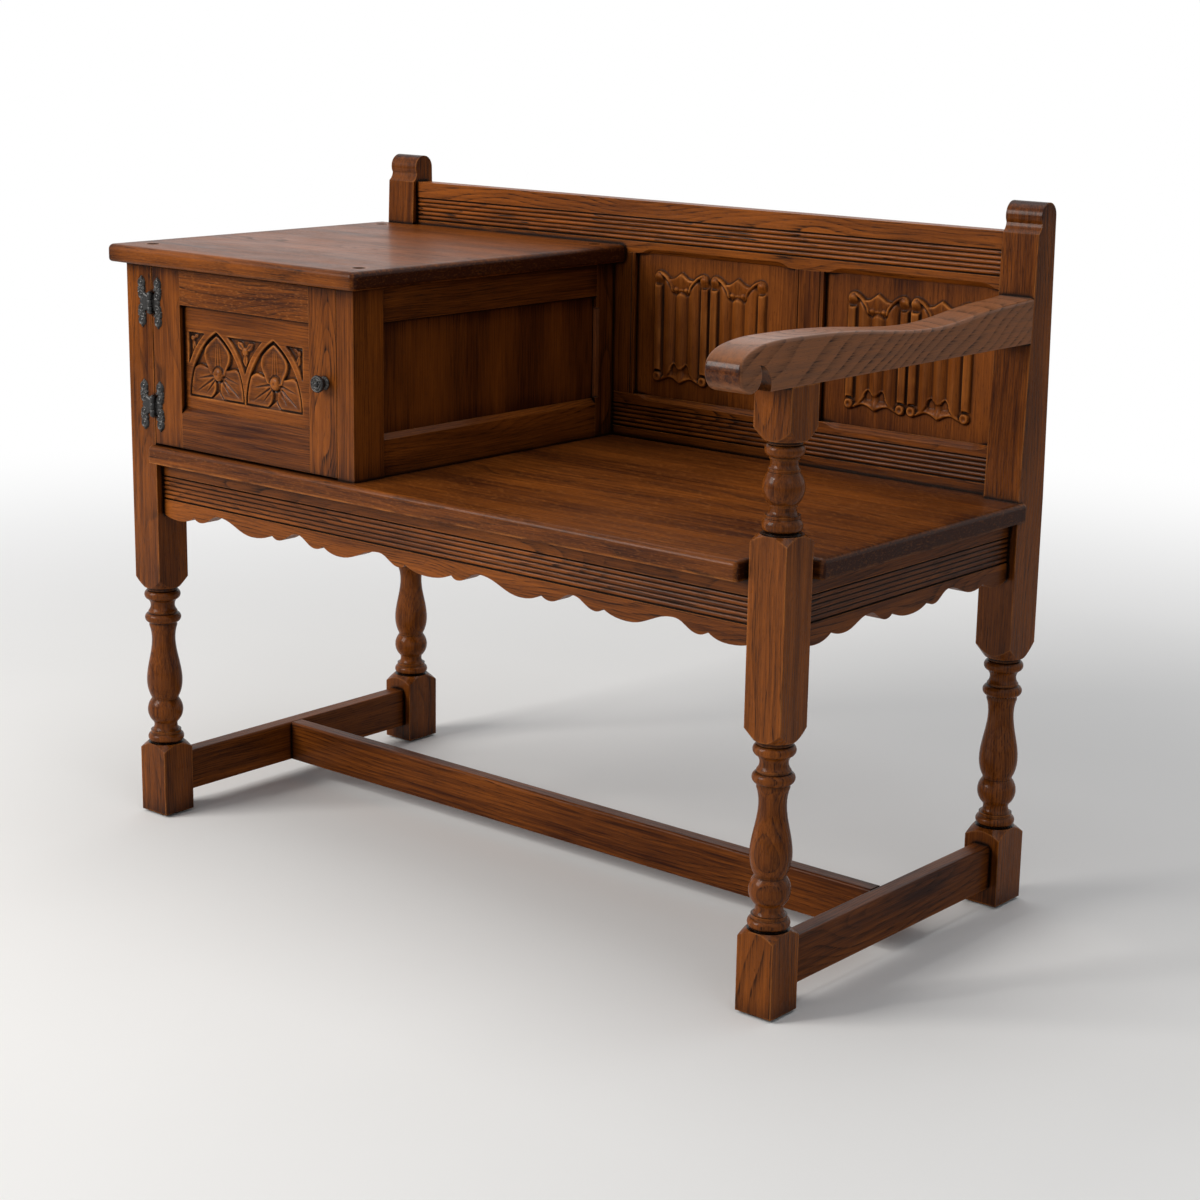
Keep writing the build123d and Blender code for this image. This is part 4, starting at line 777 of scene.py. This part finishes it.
MOTIF_WIDTH = 80.0
MOTIF_GAP = 2.0
MOTIF_MARGIN = 25.5  # from the edge of the panel, inside its groove, to the carving
PANEL_THICKNESS = 8.0
LINEN_SHIFTS = {"middle_linenfold_panel": -7.5, "right_linenfold_panel": -2.0}
ROLL_MIDDLE = 34.2
ROLL_HALF = 5.7
FIELD_HALF = 27.4
FLUTE = 18.0
CLOTH_BASE = 0.4
FIELD_RISE = 3.6
ROLL_RISE = 4.2
CURL = (33.4, -7.8)  # from the motif's middle and its top
CURL_RADIUS = 7.0
BEAD = (7.6, -20.6)
BEAD_RADIUS = 4.0
DISC = (33.8, 6.2)  # from the motif's middle and its foot
DISC_RADIUS = 6.2
POCKET = (8.4, 5.6)  # its middle and half its width
# Places from the middle of a motif outwards, and up from its lower end or down from its top.
CREST = [(0, 0), (4, -2.6), (11, -7.0), (19, -7.4), (26, -3.0), (33, 0), (38, -2.4), (40, -8)]
HEM = [(0, 0), (4, 2.2), (10, 5.0), (17, 6.0), (24, 3.4), (31, 0.8), (36, 0.2), (40, 5)]
TOP_FOLD = [(8.0, -22.6), (12.0, -20.6), (14.0, -15.5), (18.0, -10.5), (23.0, -5.8), (28.5, -2.8),
            (33.5, -2.2), (37.4, -5.4), (38.0, -9.6)]
TOP_EDGE = [(0, -19), (5.2, -20.5), (8, -22), (12.2, -20), (13.6, -16), (17.5, -11), (22, -6),
            (28, -2.2), (33, 0), (40, 0)]
BOTTOM_FOLD = [(4.0, 18.5), (8.6, 23.0), (12.6, 20.0), (14.6, 14.0), (19.0, 8.8), (26.0, 5.2)]
BOTTOM_EDGE = [(0, 17), (3.4, 18), (8.6, 23.5), (12.6, 20), (14.6, 14), (19, 8.8), (26, 5.2),
               (32.5, 2), (40, 0)]


def between(places, s):
    """The height of a smooth line through (place, height) pairs, at each s."""
    line = along_curve(places, 12 * len(places))
    order = np.argsort(line[:, 0])
    return np.interp(s, line[order, 0], line[order, 1])


def lobe(distance, radius, rise, lean):
    """The rounded end of a rolled fold: a dome that lean takes down on one side."""
    return rise * np.sqrt(np.clip(1 - (distance / radius) ** 2, 0, 1)) * lean


def folded_cloth(s, v, height):
    """One linenfold; s is from its middle outwards and v up from its lower end."""
    bulge = np.sqrt(np.clip(1 - ((s - ROLL_MIDDLE) / ROLL_HALF) ** 2, 0, 1))
    roll = CLOTH_BASE + ROLL_RISE * bulge
    across = 2 * np.abs((s + FLUTE / 2) % FLUTE - FLUTE / 2) / FLUTE
    field = CLOTH_BASE + FIELD_RISE * (1 - across**1.7)
    body = np.where(s < FIELD_HALF + 0.8, field, roll)
    body = body - 2.2 * np.clip(1 - np.abs(s - FIELD_HALF - 0.6) / 1.5, 0, 1)

    from_top = v - height
    folded = from_top > between(TOP_EDGE, s)
    cloth = 2.2 + 1.6 * eased(from_top, -22, -5) + 0.6 * np.clip(1 - s / 4.0, 0, 1)
    surface = np.where(folded, cloth, body)
    shadow = np.clip(1 - np.abs(from_top - between(TOP_EDGE, s) + 3.0) / 3.0, 0, 1) * (s < 30)
    surface = surface - 2.2 * shadow * ~folded
    surface = surface * eased(between(CREST, s) - from_top, -0.2, 1.0)
    surface = np.maximum(surface, 4.7 * ridge(s, from_top, TOP_FOLD, 4.2))
    curl = np.hypot(s - CURL[0], from_top - CURL[1])
    under = (curl < CURL_RADIUS + 2) & (from_top < -9.0)
    surface = np.where(under, 0.5, surface)
    lean = eased(from_top - CURL[1], -CURL_RADIUS, 3.0)
    dome = 0.6 + lobe(curl, CURL_RADIUS, 4.4, lean)
    surface = np.where(curl < CURL_RADIUS - 0.4, dome, surface)
    bead = np.hypot(s - BEAD[0], from_top - BEAD[1])
    lean = eased(from_top - BEAD[1], -BEAD_RADIUS, 2)
    dome = 0.8 + lobe(bead, BEAD_RADIUS, 3.8, lean)
    surface = np.where(bead < BEAD_RADIUS - 0.2, dome, surface)

    folded = v < between(BOTTOM_EDGE, s)
    hem = 3.6 - 2.4 * eased(v, 3, 15) + 0.6 * np.clip(1 - s / 3.0, 0, 1)
    surface = np.where(folded, hem, surface)
    pocket = eased(POCKET[1] - np.abs(s - POCKET[0]), 0, 2.2) * eased(v, 6.0, 17.0)
    surface = np.where(folded, surface - 2.6 * pocket, surface)
    surface = surface * eased(v - between(HEM, s), -0.2, 1.0)
    surface = np.maximum(surface, 4.0 * ridge(s, v, BOTTOM_FOLD, 2.6) * ~folded)
    disc = np.hypot(s - DISC[0], v - DISC[1])
    surface = np.where((disc < DISC_RADIUS + 2) & (v > 8.0), 0.6, surface)
    rim = 4.2 - 1.1 * np.clip(1 - disc / 3.2, 0, 1)
    surface = np.where(disc < DISC_RADIUS, rim * eased(DISC_RADIUS - disc, 0, 1.0), surface)
    return np.maximum(surface, 0) * (s < MOTIF_WIDTH / 2) * eased(MOTIF_WIDTH / 2 - s, -0.1, 0.6)


def linen_carving(node):
    """The function that carves a linenfold panel, and where its carving starts and ends."""
    low, high = in_mm(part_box(node))
    centre = (low.x + high.x) / 2 + LINEN_SHIFTS[node]
    foot = low.z + MOTIF_MARGIN
    height = high.z - low.z - 2 * MOTIF_MARGIN
    spacing = (MOTIF_WIDTH + MOTIF_GAP) / 2

    def carving(x, z):
        surface = np.zeros(x.shape)
        for middle_x in (centre - spacing, centre + spacing):
            s = np.abs(x - middle_x)
            near = (s < MOTIF_WIDTH / 2 + 1) & (z > foot - 2) & (z < foot + height + 2)
            surface = np.where(near, folded_cloth(s, z - foot, height), surface)
        return softened(surface, 2)

    reach = MOTIF_WIDTH + MOTIF_GAP / 2 + 5
    return carving, (centre - reach, centre + reach), (foot - 5, foot + height + 5)


# --- the carved panels ---

door_low, door_high = in_mm(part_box("door_panel"))
carved_panel(
    "carved_door_panel",
    "door_panel",
    (door_low.x + 10, door_high.x - 10),
    (door_low.z + 12, door_high.z - 12),
    step=0.7,
    height=lambda x, z: door_low.y - door_carving(x, z),
    stain=0.38,
)
for node in LINEN_SHIFTS:
    carving, fine_x, fine_z = linen_carving(node)
    face_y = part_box(node)[1].y / MM - PANEL_THICKNESS
    carved_panel(
        "carved_" + node,
        node,
        fine_x,
        fine_z,
        step=0.75,
        height=lambda x, z, carving=carving, face_y=face_y: face_y - carving(x, z),
        stain=0.28,
    )

# --- ironwork: hinge leaves with scrolled lobes, their barrels, and the knob ---

LEAF_PLATE = 1.2  # thickness of the flat of a leaf
LEAF_STEP = 0.4
LEAF_END = 21.5  # from the middle of the hinge to the outer screws
LEAF_INNER = 7.8
POST_OFFSET = 17.7  # from the hinge's axis to the screws of each leaf
DOOR_OFFSET = 9.8
BARREL_RADIUS = 3.3
BARREL_HALF = 12.0
KNUCKLE_GAP = 0.12  # half the gap between two knuckles of the barrel
AXIS_FORWARD = 3.6  # of the hinge's axis from the wood
PIN_PROUD = 1  # how far a pin stands out of its barrel
END_LOBE = 6.0
INNER_LOBE = 5.6
LEAF_WAIST = 2.6
LEAF_POINT = (24.0, 29.6)  # where the point at a leaf's end starts and stops
LEAF_HALF = 30.4
LEAF_REACH = 8.0
LEAF_THINNEST = 0.35
# The small curls of a leaf: away from the hinge's axis, up from its middle, and radius.
LEAF_CURLS = ((3.9, LEAF_END - 6.6, 2.5), (-3.9, LEAF_END - 6.6, 2.3), (4.3, 11.6, 2.2))


def leaf_relief(a, b, neck):
    """Height of a leaf over the wood; a points away from the hinge's axis, b up from its middle."""
    b = np.abs(b)
    end = np.hypot(a, b - LEAF_END)
    inner = np.hypot(a, b - LEAF_INNER)
    outline = np.minimum(end - END_LOBE, inner - INNER_LOBE)
    waist = np.maximum(np.abs(a) - LEAF_WAIST - 0.8 * np.cos(b * 0.9), b - LEAF_END)
    outline = np.minimum(outline, waist)
    for ca, cb, radius in LEAF_CURLS:
        outline = np.minimum(outline, np.hypot(a - ca, b - cb) - radius)
    taper = np.clip((LEAF_POINT[1] - b) / 4.6, 0, 1) ** 0.8
    tip = np.maximum(np.abs(a) - 2.8 * taper, LEAF_POINT[0] - b)
    outline = np.minimum(outline, tip)
    reach = BARREL_HALF - 0.22 * np.clip(-a, 0, None) ** 1.25
    bridge = np.maximum(np.maximum(a, -neck - a), b - reach)
    outline = np.minimum(outline, bridge)
    height = LEAF_PLATE + 0.9 * np.clip(-outline, 0, 2.0) / 2.0
    rims = np.maximum(
        np.clip(1 - np.abs(end - 4.6) / 0.8, 0, 1) * (a > -3.4),
        np.clip(1 - np.abs(inner - 4.3) / 0.8, 0, 1) * (a > -2.8),
    )
    height = height + 0.9 * rims - 0.9 * np.clip(1 - np.minimum(end, inner) / 3.9, 0, 1)
    for ca, cb, _ in LEAF_CURLS:
        away = np.hypot(a - ca, b - cb)
        height = height + 0.8 * np.clip(1 - np.abs(away - 1.4) / 0.7, 0, 1) - 0.5 * (away < 0.7)
    return np.where(outline < 0, np.maximum(height, LEAF_PLATE * 0.8), 0.0)


def leaf_mesh(axis_x, axis_z, wood_y, side, offset):
    """Corners and faces of one leaf; side is -1 on the post and 1 on the door."""
    a = np.arange(-offset, LEAF_REACH, LEAF_STEP)
    b = np.arange(-LEAF_HALF, LEAF_HALF + 0.1, LEAF_STEP)
    grid_a, grid_b = np.meshgrid(a, b)
    height = softened(leaf_relief(grid_a, grid_b, offset), 1)
    height = np.where(height < LEAF_THINNEST, 0.0, height)
    x = axis_x + side * (offset + grid_a)
    corners = np.stack([x, wood_y - height, axis_z + grid_b], axis=-1).reshape(-1, 3)
    raised = height.reshape(-1) > 0
    faces = []
    for quad in grid_quads(len(b), len(a)):
        if raised[list(quad)].any():
            faces.append(quad if side > 0 else quad[::-1])
    return corners, faces


def turned(profile, place, axis, turns=40, flutes=0, flute_depth=0.0, flute_from=99.0):
    """Corners and faces of a shape turned round an axis, "Y" towards the front or "Z" upwards.

    The profile is (radius, height) pairs; rings at flute_from or higher are fluted."""
    corners = []
    for radius, height in profile:
        for k in range(turns):
            angle = 2 * pi * k / turns
            cut = flute_depth * cos(flutes * angle) if height >= flute_from else 0.0
            out = max(radius + cut, 0.0)
            x, y = out * cos(angle), out * sin(angle)
            offset = (x, y, height) if axis == "Z" else (x, -height, y)
            corners.append([place[i] + offset[i] for i in range(3)])
    faces = []
    for ring in range(len(profile) - 1):
        low, high = ring * turns, (ring + 1) * turns
        for k in range(turns):
            after = (k + 1) % turns
            faces.append((low + k, low + after, high + after, high + k))
    faces.append(tuple(range(turns))[::-1])
    faces.append(tuple(range((len(profile) - 1) * turns, len(profile) * turns)))
    return np.array(corners), faces


def iron_piece(name, node, parts, material):
    """One smooth-shaded mesh of several parts, in the place of a CAD node."""
    corners, faces = [], []
    for part_corners, part_faces in parts:
        first = sum(len(c) for c in corners)
        corners.append(part_corners)
        faces += [tuple(first + i for i in face) for face in part_faces]
    mesh = bpy.data.meshes.new(name)
    mesh.from_pydata((np.vstack(corners) * MM).tolist(), [], faces)
    mesh.validate()
    mesh.update()
    mesh.polygons.foreach_set("use_smooth", np.ones(len(mesh.polygons), bool))
    mesh.materials.append(material)
    piece = in_scene(name, mesh)
    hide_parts(node)
    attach(piece, nodes[node]["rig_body"])


pins_low, pins_high = in_mm(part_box("hinge_pins"))
axis_x = (pins_low.x + pins_high.x) / 2
axis_y = (pins_low.y + pins_high.y) / 2
wood_y = axis_y + AXIS_FORWARD
hinge_heights = (pins_low.z + PIN_PROUD + BARREL_HALF, pins_high.z - PIN_PROUD - BARREL_HALF)
third = BARREL_HALF * 2 / 3


def barrel(z, low, high):
    """A knuckle of a hinge's barrel, with its corners eased."""
    r = BARREL_RADIUS
    profile = [(r - 0.5, low + KNUCKLE_GAP), (r, low + 0.6),
               (r, high - 0.6), (r - 0.5, high - KNUCKLE_GAP)]
    return turned(profile, (axis_x, axis_y, z), "Z")


post_parts, door_parts = [], []
for z in hinge_heights:
    post_parts.append(leaf_mesh(axis_x, z, wood_y, -1, POST_OFFSET))
    post_parts.append(barrel(z, -BARREL_HALF, -BARREL_HALF + third))
    post_parts.append(barrel(z, BARREL_HALF - third, BARREL_HALF))
    door_parts.append(leaf_mesh(axis_x, z, wood_y, 1, DOOR_OFFSET))
    door_parts.append(barrel(z, -BARREL_HALF + third, BARREL_HALF - third))
iron_piece("forged_post_leaves", "hinge_post_leaves", post_parts, iron("iron_post_leaves", 11))
iron_piece("forged_door_leaves", "hinge_door_leaves", door_parts, iron("iron_door_leaves", 12))

knob_low, knob_high = in_mm(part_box("knob"))
knob_place = ((knob_low.x + knob_high.x) / 2, wood_y, (knob_low.z + knob_high.z) / 2)
KNOB_STEM = [(7.2, 0.0), (7.0, 1.0), (5.2, 1.8), (4.8, 4.5), (5.4, 6.2), (7.6, 7.4), (9.0, 8.8)]
KNOB_HEAD = [(9.0, 8.8), (9.4, 10.2), (9.2, 11.6), (8.6, 12.6), (7.8, 13.0), (7.2, 12.5),
             (6.8, 11.9)]
KNOB_PETALS = [(6.8, 11.9), (6.2, 12.5), (5.2, 13.0), (4.2, 12.7), (3.6, 12.0)]
KNOB_BUTTON = [(3.3, 11.9), (3.2, 12.8), (2.6, 13.8), (1.5, 14.5), (0.4, 14.8)]
knob_parts = [
    turned(KNOB_STEM, knob_place, "Y", turns=64),
    turned(KNOB_HEAD, knob_place, "Y", turns=120, flutes=24, flute_depth=0.22, flute_from=9.5),
    turned(KNOB_PETALS, knob_place, "Y", turns=96, flutes=8, flute_depth=0.55, flute_from=12.2),
    turned(KNOB_BUTTON, knob_place, "Y", turns=48),
]
iron_piece("turned_knob", "knob", knob_parts, iron("iron_knob_face", 13))

# --- floor, light and camera ---

FLOOR_REACH = 40.0
FLOOR_FADE = (0.6, 2.8)  # metres from the bench where the floor turns into the white backdrop
FLOOR_DARK = colour(0.84, 0.835, 0.825)
FLOOR_LIGHT = colour(0.87, 0.865, 0.855)
WHITE = colour(1.0, 1.0, 1.0)
AMBIENT_TINT = colour(0.93, 0.96, 1.0)
AMBIENT = 0.24
# Place, target, size, power and tint of each lamp, in metres and watts.
LAMPS = {
    "key": ((-1.7, -2.6, 1.9), (0.0, 0.0, 0.45), 1.5, 84.0, (1.0, 0.97, 0.93)),
    "glint": ((-0.9, -2.4, 2.3), (0.0, 0.0, 0.45), 0.16, 8.0, (1.0, 0.98, 0.95)),
    "fill": ((2.6, -1.0, 2.0), (0.0, 0.0, 0.55), 1.2, 4.0, (0.88, 0.94, 1.0)),
    "top": ((0.0, 0.2, 2.9), (0.0, 0.0, 0.4), 2.2, 30.0, (1.0, 0.99, 0.98)),
}

floor_mesh = bpy.data.meshes.new("floor")
corners = [(FLOOR_REACH * x, FLOOR_REACH * y, 0) for x, y in ((-1, -1), (1, -1), (1, 1), (-1, 1))]
floor_mesh.from_pydata(corners, [], [(0, 1, 2, 3)])
floor = in_scene("floor", floor_mesh)
pale = Graph("pale_floor")
grit = pale.noise(pale.object_place, (3, 3, 3), detail=4.0)
pale.put(pale.surface.inputs["Base Color"], pale.mix(grit, FLOOR_DARK, FLOOR_LIGHT))
pale.surface.inputs["Roughness"].default_value = 0.8
backdrop = pale.node("ShaderNodeEmission", [("Color", WHITE), ("Strength", 1.0)])
far = pale.ease(pale.vector("LENGTH", pale.object_place), *FLOOR_FADE)
shown = pale.times(far, pale.node("ShaderNodeLightPath").outputs["Is Camera Ray"])
both = pale.node(
    "ShaderNodeMixShader", [(0, shown), (1, pale.surface.outputs[0]), (2, backdrop.outputs[0])]
)
pale.tree.links.new(both.outputs[0], pale.output.inputs["Surface"])
floor_mesh.materials.append(pale.material)

world = bpy.data.worlds.new("studio")
bpy.context.scene.world = world
world.use_nodes = True
world.node_tree.nodes.clear()


def world_node(kind, *inputs, **settings):
    """A node of the world; each input is another node's output or a plain value."""
    made = world.node_tree.nodes.new(kind)
    for key, value in settings.items():
        setattr(made, key, value)
    for socket, value in zip(made.inputs, inputs):
        if isinstance(value, bpy.types.NodeSocket):
            world.node_tree.links.new(value, socket)
        else:
            socket.default_value = value
    return made


rays = world_node("ShaderNodeLightPath").outputs
mirrored = world_node(
    "ShaderNodeMath", rays["Is Glossy Ray"], rays["Is Transmission Ray"], operation="MAXIMUM"
)
seen = world_node("ShaderNodeMath", rays["Is Camera Ray"], mirrored.outputs[0], operation="MAXIMUM")
ambient = world_node("ShaderNodeBackground", AMBIENT_TINT, AMBIENT)
white = world_node("ShaderNodeBackground", WHITE, 1.0)
chosen = world_node("ShaderNodeMixShader", seen.outputs[0], ambient.outputs[0], white.outputs[0])
world_node("ShaderNodeOutputWorld", chosen.outputs[0])


def softbox(name, place, target, size, power, tint):
    """A square area lamp at place, aimed at target."""
    lamp = bpy.data.lights.new(name, "AREA")
    lamp.shape = "SQUARE"
    lamp.size = size
    lamp.energy = power
    lamp.color = tint
    held = in_scene(name, lamp)
    held.location = place
    aim = Vector(target) - Vector(place)
    held.rotation_euler = aim.to_track_quat("-Z", "Y").to_euler()


for name, settings in LAMPS.items():
    softbox(name, *settings)

CAMERA_PLACE = Vector((1.76553, -1.99681, 0.96844))
CAMERA_HEADING = radians(40.007)
CAMERA_DOWN = radians(13.892)
CAMERA_ROLL = radians(0.963)
CAMERA_LENS = 73.416  # millimetres, like the sensor's width
CAMERA_SENSOR = 36.0
level = cos(CAMERA_DOWN)
forward = Vector((-sin(CAMERA_HEADING) * level, cos(CAMERA_HEADING) * level, -sin(CAMERA_DOWN)))
level_right = Vector((cos(CAMERA_HEADING), sin(CAMERA_HEADING), 0.0))
level_up = level_right.cross(forward)
right = level_right * cos(CAMERA_ROLL) + level_up * sin(CAMERA_ROLL)
up = level_up * cos(CAMERA_ROLL) - level_right * sin(CAMERA_ROLL)
lens = bpy.data.cameras.new("camera")
lens.lens = CAMERA_LENS
lens.sensor_width = CAMERA_SENSOR
camera = in_scene("camera", lens)
turn = Matrix((right, up, -forward)).transposed().to_4x4()
camera.matrix_world = Matrix.Translation(CAMERA_PLACE) @ turn
bpy.context.scene.camera = camera
bpy.context.scene.view_settings.view_transform = "Standard"
